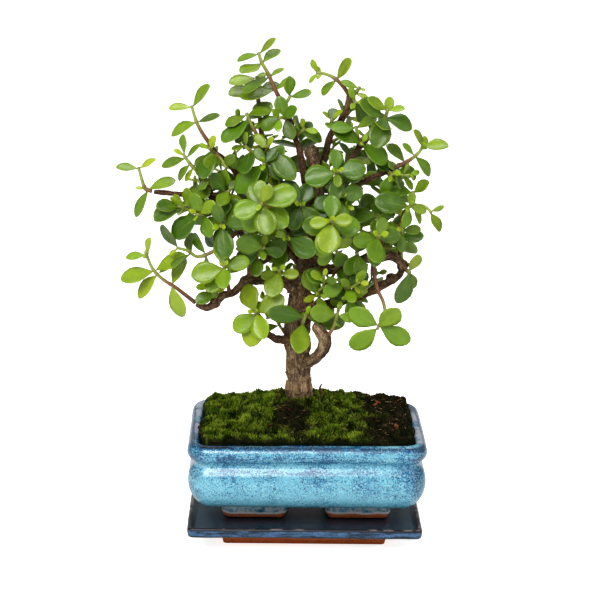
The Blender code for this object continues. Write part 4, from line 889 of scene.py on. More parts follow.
def trunk_foot():
    """Where the trunk's centre line stands in the soil."""
    x, y, _ = LIMBS["trunk"][0][0]
    return Vector((x, y, TRUNK_FOOT))


def mound(x, y):
    """The height of the soil's top, which rises to the trunk."""
    foot = trunk_foot()
    spread = ((x - foot.x) / MOUND_SPREAD[0]) ** 2 + ((y - foot.y) / MOUND_SPREAD[1]) ** 2
    return SOIL_EDGE + SOIL_MOUND * math.exp(-spread)


def moss_relief(x, y):
    """Soft cushions of moss, as waves that cross."""
    waves = math.sin(0.31 * x + 1.3) * math.sin(0.37 * y + 0.4)
    waves += 0.6 * math.sin(0.17 * x - 0.29 * y + 2.1) + 0.4 * math.sin(0.53 * x + 0.21 * y)
    return MOSS_RELIEF * waves


def round_corner(x, y, half_x, half_y, radius):
    """Moves a point of a rectangle so that its corners become round."""
    over_x = abs(x) - (half_x - radius)
    over_y = abs(y) - (half_y - radius)
    if over_x <= 0 or over_y <= 0:
        return x, y
    pull = max(over_x, over_y) / math.hypot(over_x, over_y)
    new_x = half_x - radius + over_x * pull
    new_y = half_y - radius + over_y * pull
    return math.copysign(new_x, x), math.copysign(new_y, y)


def rounded_outline(half_x, half_y, radius, steps=OUTLINE_STEPS):
    """The points of a rounded rectangle, anticlockwise, each corner an arc."""
    points = []
    for corner, (side_x, side_y) in enumerate(((1, 1), (-1, 1), (-1, -1), (1, -1))):
        for step in range(steps + 1):
            angle = math.radians(90 * (corner + step / steps))
            x = side_x * (half_x - radius) + radius * math.cos(angle)
            y = side_y * (half_y - radius) + radius * math.sin(angle)
            points.append((x, y))
    return points


def loft(bm, levels):
    """Bridges closed loops of points, and closes the first and the last with a face."""
    loops = [[bm.verts.new(point) for point in level] for level in levels]
    edges = [
        [bm.edges.new((loop[i - 1], loop[i])) for i in range(len(loop))] for loop in loops
    ]
    for below, above in zip(edges, edges[1:]):
        bmesh.ops.bridge_loops(bm, edges=below + above)
    bmesh.ops.contextual_create(bm, geom=edges[0])
    bmesh.ops.contextual_create(bm, geom=edges[-1])


def inset_levels(half, corner, profile, middle=(0.0, 0.0)):
    """The loops of a rounded rectangle drawn in or out by each inset of a profile."""
    levels = []
    for height, inset in profile:
        outline = rounded_outline(half[0] - inset, half[1] - inset, max(2.0, corner - inset))
        levels.append([(x + middle[0], y + middle[1], height) for x, y in outline])
    return levels


def warp_pot(bm):
    """The thrown pot's slight twist, nothing at its base and most at the rim's corners."""
    for vert in bm.verts:
        across = (vert.co.x - POT_MIDDLE[0]) / POT_HALF[0]
        along = (vert.co.y - POT_MIDDLE[1]) / POT_HALF[1]
        rise = max(0.0, vert.co.z - POT_FLOOR) / (RIM_TOP - POT_FLOOR)
        vert.co.z -= POT_WARP * across * along * rise


def apply_boolean(obj, operation, collection):
    """Joins every object of the collection to obj, or cuts it away, and removes those objects."""
    modifier = obj.modifiers.new("shape", "BOOLEAN")
    modifier.operation = operation
    modifier.solver = "EXACT"
    modifier.operand_type = "COLLECTION"
    modifier.collection = collection
    graph = bpy.context.evaluated_depsgraph_get()
    made = bpy.data.meshes.new_from_object(obj.evaluated_get(graph))
    obj.modifiers.clear()
    made.name = obj.name
    old, obj.data = obj.data, made
    bpy.data.meshes.remove(old)
    for other in list(collection.objects):
        bpy.data.objects.remove(other, do_unlink=True)


def limb_lines():
    """The centre lines of the trunk and its limbs, each limb starting on an earlier one."""
    lines = []
    for name, (points, radii) in LIMBS.items():
        points = [Vector(point) for point in points]
        if name == "trunk":
            points, radii = [trunk_foot(), *points], [TRUNK_RADIUS, *radii]
            line, _ = smooth_line(points, radii, TRUNK_STEP)
        else:
            points[0] = nearest_on_lines(points[0], lines)
            line, _ = smooth_line(points, radii, LIMB_STEP)
        lines.append(line)
    return lines


def plan_stems(wood, wood_lines):
    """Every spray's centre lines, radii and plain surfaces, seated on the wood as the solids are."""
    workshop = bpy.data.collections.new("stems_to_test")
    bpy.context.scene.collection.children.link(workshop)
    stems = {}
    for name, sprigs in SPRAYS.items():
        lines, radii_of, surfaces = [], [], []
        for number, (points, _) in enumerate(sprigs):
            points = [Vector(point) for point in points]
            points[0] = nearest_on_lines(points[0], lines[:1] or wood_lines)
            base = SPRIG_RADIUS if number else LEADER_RADIUS
            shares = [i / (len(points) - 1) for i in range(len(points))]
            radii = [base + (STEM_TIP_RADIUS - base) * share for share in shares]
            line, sizes = smooth_line(points, radii, STEM_STEP)
            if not number:
                line, sizes = seated(line, sizes, wood)
            test = tube(name, line, sizes, SPRIG_SIDES if number else LEADER_SIDES, workshop)
            lines.append(line)
            radii_of.append(sizes)
            surfaces.append(tree_of(test))
            bpy.data.objects.remove(test, do_unlink=True)
        stems[name] = (lines, radii_of, surfaces)
    bpy.data.collections.remove(workshop)
    return stems


def show(name, bm, looks, smooth=True):
    """An object at the origin from a bmesh that is in millimetres."""
    bmesh.ops.scale(bm, vec=(MM, MM, MM), verts=bm.verts)
    mesh = bpy.data.meshes.new(name)
    for face in bm.faces:
        face.smooth = smooth
    bm.to_mesh(mesh)
    bm.free()
    for look in looks:
        mesh.materials.append(look)
    piece = bpy.data.objects.new(name, mesh)
    bpy.context.scene.collection.objects.link(piece)
    return piece


def stand_for(piece, slot, *nodes):
    """Puts a piece on the body and hides the nodes it stands for; its slot is not used."""
    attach(piece, "root")
    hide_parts(*nodes)


def add_on(piece):
    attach(piece, "root")


class Nodes:
    """Places and joins the nodes of a material or of a node group."""

    def __init__(self, tree):
        self.tree = tree

    def add(self, kind, inputs=None, **settings):
        node = self.tree.nodes.new(kind)
        for name, value in settings.items():
            setattr(node, name, value)
        for name, value in (inputs or {}).items():
            self.feed(node.inputs[name], value)
        return node

    def feed(self, socket, value):
        if isinstance(value, bpy.types.NodeSocket):
            self.tree.links.new(value, socket)
        elif isinstance(value, tuple) and len(value) == 3 and socket.type == "RGBA":
            socket.default_value = (*value, 1.0)
        else:
            socket.default_value = value

    def calc(self, operation, *values):
        return self.add("ShaderNodeMath", dict(enumerate(values)), operation=operation).outputs[0]

    def plus(self, first, second):
        return self.calc("ADD", first, second)

    def minus(self, first, second):
        return self.calc("SUBTRACT", first, second)

    def times(self, first, second):
        return self.calc("MULTIPLY", first, second)

    def most(self, first, second):
        return self.calc("MAXIMUM", first, second)

    def fall(self, value, low, high):
        """1 below low, 0 above high, and a soft drop between them."""
        return self.minus(1.0, self.step(value, low, high))

    def tint(self, colour, share, strength, tone):
        """A colour with a tone laid over it, as strongly as a share and a strength say."""
        return self.blend(self.times(share, strength), colour, tone)

    def blend(self, share, first, second, way="MIX"):
        values = {0: share, 6: first, 7: second}
        return self.add("ShaderNodeMix", values, data_type="RGBA", blend_type=way).outputs[2]

    def step(self, value, low, high):
        """0 below low, 1 above high, and a soft rise between them."""
        values = {"Value": value, "From Min": low, "From Max": high}
        return self.add("ShaderNodeMapRange", values, interpolation_type="SMOOTHSTEP").outputs[0]

    def cloud(self, place, scale, detail=3.0, rough=0.5, twist=0.0):
        values = {"Vector": place, "Scale": scale, "Detail": detail, "Roughness": rough}
        node = self.add("ShaderNodeTexNoise", {**values, "Distortion": twist})
        return node.outputs[0]

    def cells(self, place, scale, feature="F1"):
        values = {"Vector": place, "Scale": scale}
        return self.add("ShaderNodeTexVoronoi", values, feature=feature).outputs["Distance"]

    def stretched(self, place, scale):
        return self.add("ShaderNodeMapping", {"Vector": place, "Scale": scale}).outputs[0]

    def parts(self, place):
        return self.add("ShaderNodeSeparateXYZ", {"Vector": place}).outputs

    def object_place(self):
        return self.add("ShaderNodeTexCoord").outputs["Object"]

    def mark(self, name, vector=False):
        """A value that the mesh carries at each of its points."""
        node = self.add("ShaderNodeAttribute", attribute_name=name)
        return node.outputs["Vector" if vector else "Fac"]

    def bump(self, height, distance, strength=1.0):
        values = {"Height": height, "Distance": distance, "Strength": strength}
        return self.add("ShaderNodeBump", values).outputs[0]


def finish_called(name, roughness, **plain):
    """A material with a Principled shader, plain values set on it, and its nodes to add to."""
    made = bpy.data.materials.new(name)
    made.use_nodes = True
    shader = made.node_tree.nodes["Principled BSDF"]
    shader.inputs["Roughness"].default_value = roughness
    for socket, value in plain.items():
        shader.inputs[socket.replace("_", " ")].default_value = value
    return made, shader, Nodes(made.node_tree)


def leaf_finish():
    """Fleshy green blades: fresh ones yellow-green, old ones deep, paler below and at the margin."""
    made, shader, nodes = finish_called(
        "jade_leaf", 0.35, Coat_Weight=0.28, Coat_Roughness=0.3, Specular_IOR_Level=0.4,
        Subsurface_Weight=0.08, Subsurface_Scale=0.002,
    )
    shader.inputs["Subsurface Radius"].default_value = (0.5, 1.0, 0.15)
    place = nodes.object_place()
    age, tone, across, along, upper = (
        nodes.mark(name) for name in ("age", "tone", "across", "along", "upper")
    )
    patches = nodes.cloud(place, 160.0, 2.0)
    grown = nodes.plus(age, nodes.times(nodes.minus(patches, 0.5), 0.35))
    fresh = nodes.blend(tone, (0.4, 0.49, 0.015), (0.24, 0.39, 0.008))
    deep = nodes.blend(tone, (0.03, 0.09, 0.001), (0.105, 0.22, 0.003))
    colour = nodes.blend(nodes.step(grown, 0.05, 0.9), fresh, deep)
    edge = nodes.times(nodes.step(across, 0.72, 1.0), nodes.step(along, 0.1, 0.5))
    tip = nodes.step(along, 0.9, 1.0)
    margin = nodes.most(edge, tip)
    colour = nodes.tint(colour, margin, 0.4, (0.26, 0.34, 0.02))
    rib = nodes.fall(across, 0.0, 0.12)
    rib = nodes.times(rib, nodes.fall(along, 0.2, 0.8))
    colour = nodes.tint(colour, rib, 0.35, (0.28, 0.38, 0.05))
    below = nodes.fall(upper, -0.5, 0.1)
    colour = nodes.tint(colour, below, 0.35, (0.2, 0.29, 0.03))
    foot = nodes.fall(along, 0.02, 0.16)
    colour = nodes.tint(colour, foot, 0.6, (0.26, 0.14, 0.03))
    grain = nodes.cloud(place, 2600.0, 2.0)
    colour = nodes.blend(nodes.times(nodes.step(grain, 0.45, 0.8), 0.14), colour,
                         (0.32, 0.42, 0.08))
    nodes.feed(shader.inputs["Base Color"], colour)
    dull = nodes.calc("MULTIPLY_ADD", nodes.cloud(place, 420.0), 0.24, 0.27)
    nodes.feed(shader.inputs["Roughness"], dull)
    swell = nodes.plus(nodes.cloud(place, 330.0, 1.0), nodes.times(grain, 0.06))
    nodes.feed(shader.inputs["Normal"], nodes.bump(swell, 0.0009, 0.35))
    return made


def stem_finish():
    """Young stems: green at the tip, reddening to brown bark at the foot, ringed at each joint."""
    made, shader, nodes = finish_called("young_stem", 0.5, Coat_Weight=0.08)
    place = nodes.object_place()
    age, ring = nodes.mark("age"), nodes.mark("upper")
    streaks = nodes.cloud(place, 700.0, 3.0)
    grown = nodes.plus(age, nodes.times(nodes.minus(streaks, 0.5), 0.5))
    colour = nodes.blend(nodes.step(grown, 0.2, 0.6), (0.28, 0.36, 0.06), (0.24, 0.11, 0.045))
    colour = nodes.blend(nodes.step(grown, 0.6, 1.0), colour, (0.13, 0.055, 0.03))
    colour = nodes.tint(colour, ring, 0.6, (0.2, 0.15, 0.07))
    nodes.feed(shader.inputs["Base Color"], colour)
    nodes.feed(shader.inputs["Normal"], nodes.bump(streaks, 0.0006, 0.6))
    return made


def bark_finish():
    """Old bark is tan with a net of cracks and dark stains, and thin limbs are red-brown."""
    made, shader, nodes = finish_called("bark", 0.8, Specular_IOR_Level=0.25)
    along_limb = nodes.mark("bark_place", vector=True)
    girth, furrow, scar = nodes.mark("girth"), nodes.mark("furrow"), nodes.mark("scar")
    _, _, z = nodes.parts(nodes.object_place())
    net_place = nodes.stretched(along_limb, (1.0, 1.0, 0.4))
    plates = nodes.cloud(net_place, 480.0, 5.0, 0.65, 0.8)
    fine = nodes.cloud(nodes.stretched(along_limb, (1.0, 1.0, 0.55)), 1600.0, 4.0, 0.65)
    patches = nodes.cloud(along_limb, 90.0, 3.0)
    old = nodes.step(girth, 1.8, 4.2)
    thin = nodes.blend(patches, (0.13, 0.045, 0.025), (0.26, 0.13, 0.065))
    thick = nodes.blend(nodes.step(patches, 0.35, 0.65), (0.42, 0.26, 0.125), (0.68, 0.48, 0.27))
    colour = nodes.blend(old, thin, thick)
    stain = nodes.step(nodes.cloud(along_limb, 62.0, 3.0, 0.6), 0.5, 0.6)
    colour = nodes.tint(colour, stain, 0.7, (0.12, 0.06, 0.045))
    seam = nodes.minus(1.0, nodes.step(
        nodes.cells(net_place, 520.0, "DISTANCE_TO_EDGE"), 0.02, 0.14))
    seam = nodes.times(seam, nodes.step(plates, 0.42, 0.56))
    crack = nodes.most(seam, nodes.fall(plates, 0.36, 0.46))
    colour = nodes.tint(colour, crack, 0.7, (0.07, 0.035, 0.02))
    pale = nodes.times(nodes.step(plates, 0.54, 0.66), old)
    colour = nodes.tint(colour, pale, 0.55, (0.68, 0.5, 0.3))
    # Painted shade: darker where the bark's surface is sunk deepest into its furrows.
    furrow_shade = nodes.fall(furrow, 0.1, 0.45)
    colour = nodes.tint(colour, furrow_shade, 0.35, (0.08, 0.045, 0.03))
    grit = nodes.times(nodes.step(fine, 0.52, 0.68), 0.4)
    colour = nodes.blend(grit, colour, (0.66, 0.5, 0.31))
    dark = nodes.fall(fine, 0.36, 0.47)
    colour = nodes.tint(colour, dark, 0.6, (0.08, 0.045, 0.025))
    healed = nodes.times(nodes.step(scar, 0.3, 0.75), nodes.step(fine, 0.3, 0.6))
    colour = nodes.blend(healed, colour, (0.7, 0.47, 0.24))
    # Painted shade: the trunk darkens below 85 to 93 mm, at its foot where it goes into the moss.
    foot_shade = nodes.fall(z, 0.085, 0.093)
    colour = nodes.tint(colour, foot_shade, 0.75, (0.04, 0.022, 0.012))
    rings = nodes.cloud(nodes.stretched(along_limb, (0.25, 0.25, 1.0)), 900.0, 2.0)
    nodes.feed(shader.inputs["Base Color"], colour)
    height = nodes.plus(plates, nodes.times(fine, 0.6))
    height = nodes.plus(height, nodes.times(rings, 0.35))
    height = nodes.minus(height, nodes.times(crack, 0.3))
    nodes.feed(shader.inputs["Normal"], nodes.bump(height, 0.002, 1.0))
    return made


def moss_finish():
    """Bright shoots on dark stems, browner in the middle and to the right."""
    # Dark stems and green shoot tips, with painted shade in the hollows between clumps and painted
    # highlights on the high clumps; browner in the middle and to the right, and darker along the pot's
    # rim, partly soil and partly painted shade.
    made, shader, nodes = finish_called("moss", 0.9, Specular_IOR_Level=0.1)
    place = nodes.object_place()
    shoot, dry = nodes.mark("shoot"), nodes.mark("dry")
    patches = nodes.cloud(place, 130.0, 4.0, 0.6)
    specks = nodes.cloud(place, 900.0, 2.0)
    green = nodes.blend(nodes.step(patches, 0.35, 0.65), (0.06, 0.12, 0.004), (0.27, 0.36, 0.03))
    brown = nodes.blend(nodes.step(specks, 0.4, 0.65), (0.014, 0.01, 0.004), (0.075, 0.06, 0.02))
    # The dry mark browns the moss where it is dry, and along the pot's rim it also stands for soil and
    # painted shade.
    colour = nodes.blend(nodes.step(dry, 0.25, 0.8), green, brown)
    # The shoot mark is low in the hollows between clumps, which go nearly black as painted shade, and
    # high on the lit crowns; the dark stems and green tips are the moss's own.
    colour = nodes.blend(nodes.step(shoot, 0.15, 0.85), (0.006, 0.009, 0.002), colour)
    # Painted highlight: pale flecks on the tips of the high clumps, where the light catches them.
    bright = nodes.times(nodes.step(specks, 0.55, 0.72), nodes.step(shoot, 0.65, 1.0))
    bright = nodes.times(bright, nodes.minus(1.0, dry))
    colour = nodes.tint(colour, bright, 0.6, (0.55, 0.62, 0.09))
    nodes.feed(shader.inputs["Base Color"], colour)
    nodes.feed(shader.inputs["Normal"], nodes.bump(specks, 0.0008, 0.8))
    return made


def crumb_finish(name, dark, pale):
    made, shader, nodes = finish_called(name, 0.95, Specular_IOR_Level=0.15)
    place = nodes.object_place()
    colour = nodes.blend(nodes.step(nodes.cloud(place, 500.0, 4.0), 0.35, 0.7), dark, pale)
    nodes.feed(shader.inputs["Base Color"], colour)
    nodes.feed(shader.inputs["Normal"], nodes.bump(nodes.cloud(place, 1600.0, 4.0), 0.0008))
    return made


def plastic_finish():
    """Black moulded mesh over the drain holes, with a fine mould grain and dust."""
    made, shader, nodes = finish_called("drain_mesh_plastic", 0.5)
    place = nodes.object_place()
    dust = nodes.step(nodes.cloud(place, 300.0, 4.0), 0.5, 0.8)
    nodes.feed(shader.inputs["Base Color"], nodes.blend(dust, (0.015, 0.015, 0.016), (0.06, 0.05, 0.04)))
    nodes.feed(shader.inputs["Normal"], nodes.bump(nodes.cloud(place, 2500.0), 0.0002))
    return made


def speckle_group():
    """Reactive glaze: a pale and a deep colour that break into cells, with dark and light flecks."""
    group = bpy.data.node_groups.new("speckled_glaze", "ShaderNodeTree")
    for name, kind in (
        ("Place", "NodeSocketVector"), ("Pale", "NodeSocketColor"), ("Deep", "NodeSocketColor"),
        ("Fleck", "NodeSocketColor"), ("Light", "NodeSocketColor"), ("Density", "NodeSocketFloat"),
        ("Pooling", "NodeSocketFloat"),
    ):
        group.interface.new_socket(name, in_out="INPUT", socket_type=kind)
    group.interface.new_socket("Color", in_out="OUTPUT", socket_type="NodeSocketColor")
    group.interface.new_socket("Height", in_out="OUTPUT", socket_type="NodeSocketFloat")
    nodes = Nodes(group)
    given = nodes.add("NodeGroupInput").outputs
    place = given["Place"]
    pools = nodes.minus(nodes.cloud(place, 55.0, 4.0, 0.6), 0.5)
    pools = nodes.calc("MULTIPLY_ADD", pools, given["Pooling"], 0.5)
    break_up = nodes.cloud(place, 520.0, 4.0, 0.75, 0.4)
    share = nodes.plus(pools, nodes.times(nodes.minus(break_up, 0.5), 1.1))
    share = nodes.plus(share, nodes.minus(given["Density"], 0.5))
    colour = nodes.blend(nodes.step(share, 0.32, 0.8), given["Pale"], given["Deep"])
    light = nodes.step(nodes.cloud(place, 850.0, 3.0, 0.6), 0.52, 0.66)
    colour = nodes.tint(colour, light, 0.5, given["Light"])
    size = nodes.calc("MULTIPLY_ADD", share, 0.66, 0.1)
    small = nodes.minus(nodes.cells(place, 1150.0), size)
    fleck = nodes.fall(small, -0.1, 0.06)
    gaps = nodes.step(nodes.cloud(place, 420.0, 2.0), 0.26, 0.44)
    colour = nodes.blend(nodes.times(nodes.times(fleck, gaps), 0.9), colour,
                         given["Fleck"])
    pit = nodes.minus(1.0, nodes.step(nodes.cells(place, 190.0), 0.06, 0.11))
    colour = nodes.tint(colour, pit, 0.85, (0.012, 0.02, 0.05))
    height = nodes.minus(nodes.times(break_up, 0.4), pit)
    out = nodes.add("NodeGroupOutput")
    nodes.feed(out.inputs["Color"], colour)
    nodes.feed(out.inputs["Height"], height)
    return group


def clay_colour(nodes, place):
    """Fired red clay, with darker grog."""
    body = nodes.blend(nodes.cloud(place, 220.0, 4.0, 0.6), (0.72, 0.15, 0.04), (0.98, 0.32, 0.12))
    grog = nodes.step(nodes.cloud(place, 1500.0, 2.0), 0.56, 0.68)
    return nodes.blend(nodes.times(grog, 0.6), body, (0.1, 0.025, 0.012))


def band(nodes, level, middle, half, soft):
    """1 on a level band, and 0 off it: its middle height, half height, and soft edge."""
    away = nodes.calc("ABSOLUTE", nodes.minus(level, middle))
    return nodes.fall(away, half, half + soft)


def pot_finish(group):
    """Pale blue speckled glaze, deeper under the rim, and brown where it runs thin."""
    made, shader, nodes = finish_called("pot_glaze", 0.25, Coat_Weight=0.5, Coat_Roughness=0.2)
    place = nodes.object_place()
    x, y, z = nodes.parts(place)
    waver = nodes.times(nodes.minus(nodes.cloud(place, 70.0, 4.0), 0.5), 0.005)
    level = nodes.plus(z, waver)
    streaks = nodes.cloud(nodes.stretched(place, (0.16, 0.16, 1.0)), 520.0, 4.0, 0.6)
    streaks = nodes.step(streaks, 0.38, 0.62)
    lip = band(nodes, level, 0.0692, 0.0007, 0.0012)
    under = nodes.times(band(nodes, level, 0.062, 0.0016, 0.002), streaks)
    line = nodes.times(band(nodes, level, 0.0535, 0.0003, 0.0012), streaks)
    deep = nodes.most(nodes.times(lip, 0.42), nodes.times(under, 0.3))
    deep = nodes.most(deep, nodes.times(line, 0.26))
    up = nodes.times(nodes.step(level, 0.032, 0.062), 0.14)
    corner_x = nodes.step(nodes.calc("ABSOLUTE", nodes.minus(x, POT_MIDDLE[0] * MM)),
                          0.064, 0.0755)
    corner_y = nodes.step(nodes.calc("ABSOLUTE", y), 0.043, 0.055)
    density = nodes.plus(nodes.plus(0.35, up), deep)
    density = nodes.plus(density, nodes.times(corner_x, 0.16))
    glaze = nodes.add("ShaderNodeGroup", node_tree=group)
    for name, value in (
        ("Place", place), ("Density", density), ("Pale", (0.165, 0.45, 0.58)),
        ("Deep", (0.022, 0.19, 0.37)), ("Fleck", (0.004, 0.05, 0.12)), ("Light", (0.46, 0.78, 0.8)),
        ("Pooling", 1.0),
    ):
        nodes.feed(glaze.inputs[name], value)
    colour = glaze.outputs["Color"]
    crest = band(nodes, z, 0.0699, 0.0002, 0.0008)
    thin = nodes.times(corner_x, corner_y)
    thin = nodes.plus(nodes.times(thin, 0.75), nodes.times(crest, 0.5))
    worn = nodes.times(thin, nodes.step(nodes.cloud(place, 150.0, 4.0), 0.38, 0.58))
    colour = nodes.blend(worn, colour, (0.03, 0.018, 0.028))
    split = nodes.times(band(nodes, nodes.plus(z, nodes.times(waver, 0.12)),
                                        0.0695, 0.00015, 0.0003), nodes.calc("MULTIPLY",
                       nodes.step(x, -0.069, -0.0685), nodes.fall(x, -0.045, -0.0444)))
    split = nodes.times(split, nodes.step(y, -0.05, -0.051))
    colour = nodes.blend(split, colour, (0.01, 0.009, 0.012))
    top = nodes.step(z, 0.07, 0.0705)
    frosted = nodes.times(top, nodes.step(nodes.cloud(place, 90.0, 4.0), 0.3, 0.55))
    frosted = nodes.times(frosted, nodes.step(y, -0.047, -0.04))
    colour = nodes.tint(colour, frosted, 0.9, (0.4, 0.44, 0.53))
    foot = nodes.fall(z, 0.0262, 0.0272)
    milky = nodes.times(foot, nodes.step(nodes.cloud(place, 380.0, 3.0), 0.4, 0.6))
    colour = nodes.tint(colour, milky, 0.75, (0.66, 0.76, 0.78))
    # Painted highlight: a white glint line along the glaze's lower edge on the feet.
    hem_glint = nodes.times(band(nodes, level, 0.0196, 0.0004, 0.0006), foot)
    colour = nodes.tint(colour, hem_glint, 0.9, (0.95, 0.92, 0.89))
    bare = nodes.fall(level, 0.0184, 0.019)
    colour = nodes.blend(bare, colour, clay_colour(nodes, place))
    nodes.feed(shader.inputs["Base Color"], colour)
    nodes.feed(shader.inputs["Roughness"], nodes.calc("MULTIPLY_ADD", bare, 0.6, 0.25))
    nodes.feed(shader.inputs["Coat Weight"], nodes.calc("MULTIPLY_ADD", bare, -0.5, 0.5))
    ripple = nodes.times(nodes.cloud(place, 38.0, 2.0), 0.8)
    height = nodes.plus(glaze.outputs["Height"], ripple)
    nodes.feed(shader.inputs["Normal"], nodes.bump(height, 0.0008, 0.6))
    return made


def saucer_finish(group):
    """Deep navy glaze with blue flecks, a bluer band on the wall, and a bare clay foot."""
    made, shader, nodes = finish_called("saucer_glaze", 0.25, Coat_Weight=0.3, Coat_Roughness=0.2,
                                        Specular_IOR_Level=0.3)
    place = nodes.object_place()
    x, y, z = nodes.parts(place)
    waver = nodes.times(nodes.minus(nodes.cloud(place, 80.0, 3.0), 0.5), 0.003)
    level = nodes.plus(z, waver)
    streaks = nodes.cloud(nodes.stretched(place, (0.16, 0.16, 1.0)), 600.0, 3.0)
    wall = nodes.times(band(nodes, level, 0.0142, 0.0014, 0.001),
                      nodes.step(streaks, 0.3, 0.65))
    past_x = nodes.minus(nodes.calc("ABSOLUTE", x), SAUCER_HALF[0] * MM)
    past_y = nodes.minus(nodes.calc("ABSOLUTE", y), SAUCER_HALF[1] * MM)
    outside = nodes.step(nodes.most(past_x, past_y), -0.0022, -0.0012)
    wall = nodes.times(wall, outside)
    pale = nodes.blend(wall, (0.014, 0.045, 0.075), (0.085, 0.18, 0.34))
    density = nodes.minus(0.56, nodes.times(wall, 0.2))
    glaze = nodes.add("ShaderNodeGroup", node_tree=group)
    for name, value in (
        ("Place", nodes.stretched(place, (1.7, 1.7, 1.7))), ("Density", density), ("Pale", pale),
        ("Deep", (0.007, 0.014, 0.026)), ("Fleck", (0.006, 0.007, 0.014)),
        ("Light", (0.03, 0.1, 0.15)), ("Pooling", 0.0),
    ):
        nodes.feed(glaze.inputs[name], value)
    colour = glaze.outputs["Color"]
    # Darker lines along the wall's top edge and along its lower curve.
    dark_edge_lines = band(nodes, z, 0.0172, 0.0004, 0.0008)
    dark_edge_lines = nodes.most(dark_edge_lines, band(nodes, z, 0.0112, 0.0005, 0.001))
    colour = nodes.tint(colour, dark_edge_lines, 0.8, (0.02, 0.01, 0.01))
    worn = nodes.times(band(nodes, z, 0.0175, 0.0001, 0.0004),
                      nodes.step(nodes.cloud(place, 120.0, 4.0), 0.48, 0.6))
    colour = nodes.tint(colour, worn, 0.6, (0.35, 0.26, 0.24))
    run = nodes.times(nodes.step(nodes.cloud(place, 34.0, 2.0), 0.6, 0.68), 0.0035)
    bare = nodes.minus(1.0, nodes.step(nodes.plus(z, run), 0.0056, 0.0062))
    colour = nodes.blend(bare, colour, clay_colour(nodes, place))
    nodes.feed(shader.inputs["Base Color"], colour)
    nodes.feed(shader.inputs["Roughness"], nodes.calc("MULTIPLY_ADD", bare, 0.6, 0.25))
    nodes.feed(shader.inputs["Coat Weight"], nodes.calc("MULTIPLY_ADD", bare, -0.3, 0.3))
    ripple = nodes.times(nodes.cloud(place, 45.0, 2.0), 0.25)
    height = nodes.plus(glaze.outputs["Height"], ripple)
    nodes.feed(shader.inputs["Normal"], nodes.bump(height, 0.0007, 0.6))
    return made


def floor_finish():
    """A white table that glows a little to the camera alone, as an overlit backdrop does."""
    made, shader, nodes = finish_called("pale_floor", 0.9)
    place = nodes.object_place()
    colour = nodes.blend(nodes.cloud(place, 6.0), (0.86, 0.86, 0.86), (0.9, 0.9, 0.9))
    nodes.feed(shader.inputs["Base Color"], colour)
    shader.inputs["Emission Color"].default_value = (1.0, 1.0, 1.0, 1.0)
    seen = nodes.add("ShaderNodeLightPath").outputs["Is Camera Ray"]
    nodes.feed(shader.inputs["Emission Strength"], nodes.times(seen, 0.68))
    return made


def blade_width(along, point):
    """Half a blade's width at a share of its length: a narrow foot, and a round or pointed tip."""
    widest = 0.6
    if along < widest:
        return math.sin(math.pi / 2 * along / widest) ** 1.25
    past = (along - widest) / (1 - widest)
    return (1 - point) * math.sqrt(max(0.0, 1 - past * past)) + point * (1 - past ** 1.7)


def blade_place(shape, leaf):
    """Where a point of the unit ball goes on a leaf, with its shares across, along and up."""
    along = (1 + shape.z) / 2
    around = math.hypot(shape.x, shape.y)
    across, upper = (shape.x / around, shape.y / around) if around > 1e-6 else (0.0, 0.0)
    outline = blade_width(along, leaf["point"])
    width = BLADE_SHARE * leaf["width"] / 2 * outline
    thick = (LEAF_THICK + THICK_PER_LENGTH * leaf["length"]) / 2 * outline ** 0.5
    rise = upper * thick * (1 - 0.35 * abs(across)) * (1.0 if upper < 0 else 0.7)
    if upper > 0:
        rise -= 0.35 * thick * (1 - across * across) * outline
    rise += leaf["cup"] * width * across * across - leaf["curl"] * leaf["length"] * along * along
    rise += leaf["fold"] * width * abs(across) ** 1.5
    wave = leaf["wave"] * width * math.sin(7 * along + leaf["phase"]) * across
    side = leaf["normal"].cross(leaf["axis"])
    spot = leaf["base"] + leaf["axis"] * (along * leaf["length"])
    return spot + side * (across * width) + leaf["normal"] * (rise + wave), across, along, upper


def add_leaf(bm, leaf, age, tone):
    marks = [bm.verts.layers.float[name] for name in MARKS]
    sides, levels = SMALL_LEAF_MESH if leaf["length"] < PLAIN_LENGTH else LEAF_MESH
    made = bmesh.ops.create_uvsphere(bm, u_segments=sides, v_segments=levels, radius=1.0)["verts"]
    for vert in made:
        vert.co, across, along, upper = blade_place(vert.co.copy(), leaf)
        for mark, value in zip(marks, (age, tone, abs(across), along, upper)):
            vert[mark] = value


def grow_leaf(bm, leaf, source, ageing):
    """Adds a leaf with a wave, fold and tip of its own, yellower when small or far out."""
    leaf["wave"] = source.uniform(0.0, 0.09)
    leaf["phase"] = source.uniform(0.0, math.tau)
    leaf["fold"] = source.uniform(0.0, 0.22)
    leaf["point"] = source.uniform(0.1, 0.45)
    young = max(0.0, min(1.0, (leaf["length"] - 4) / 11))
    out = math.hypot(leaf["base"].x, leaf["base"].z - CROWN_MIDDLE.z) / CROWN_REACH
    age = young * source.uniform(0.7, 1.3) * (1 - 0.5 * min(1.0, out) ** 2)
    add_leaf(bm, leaf, age * ageing, source.random())


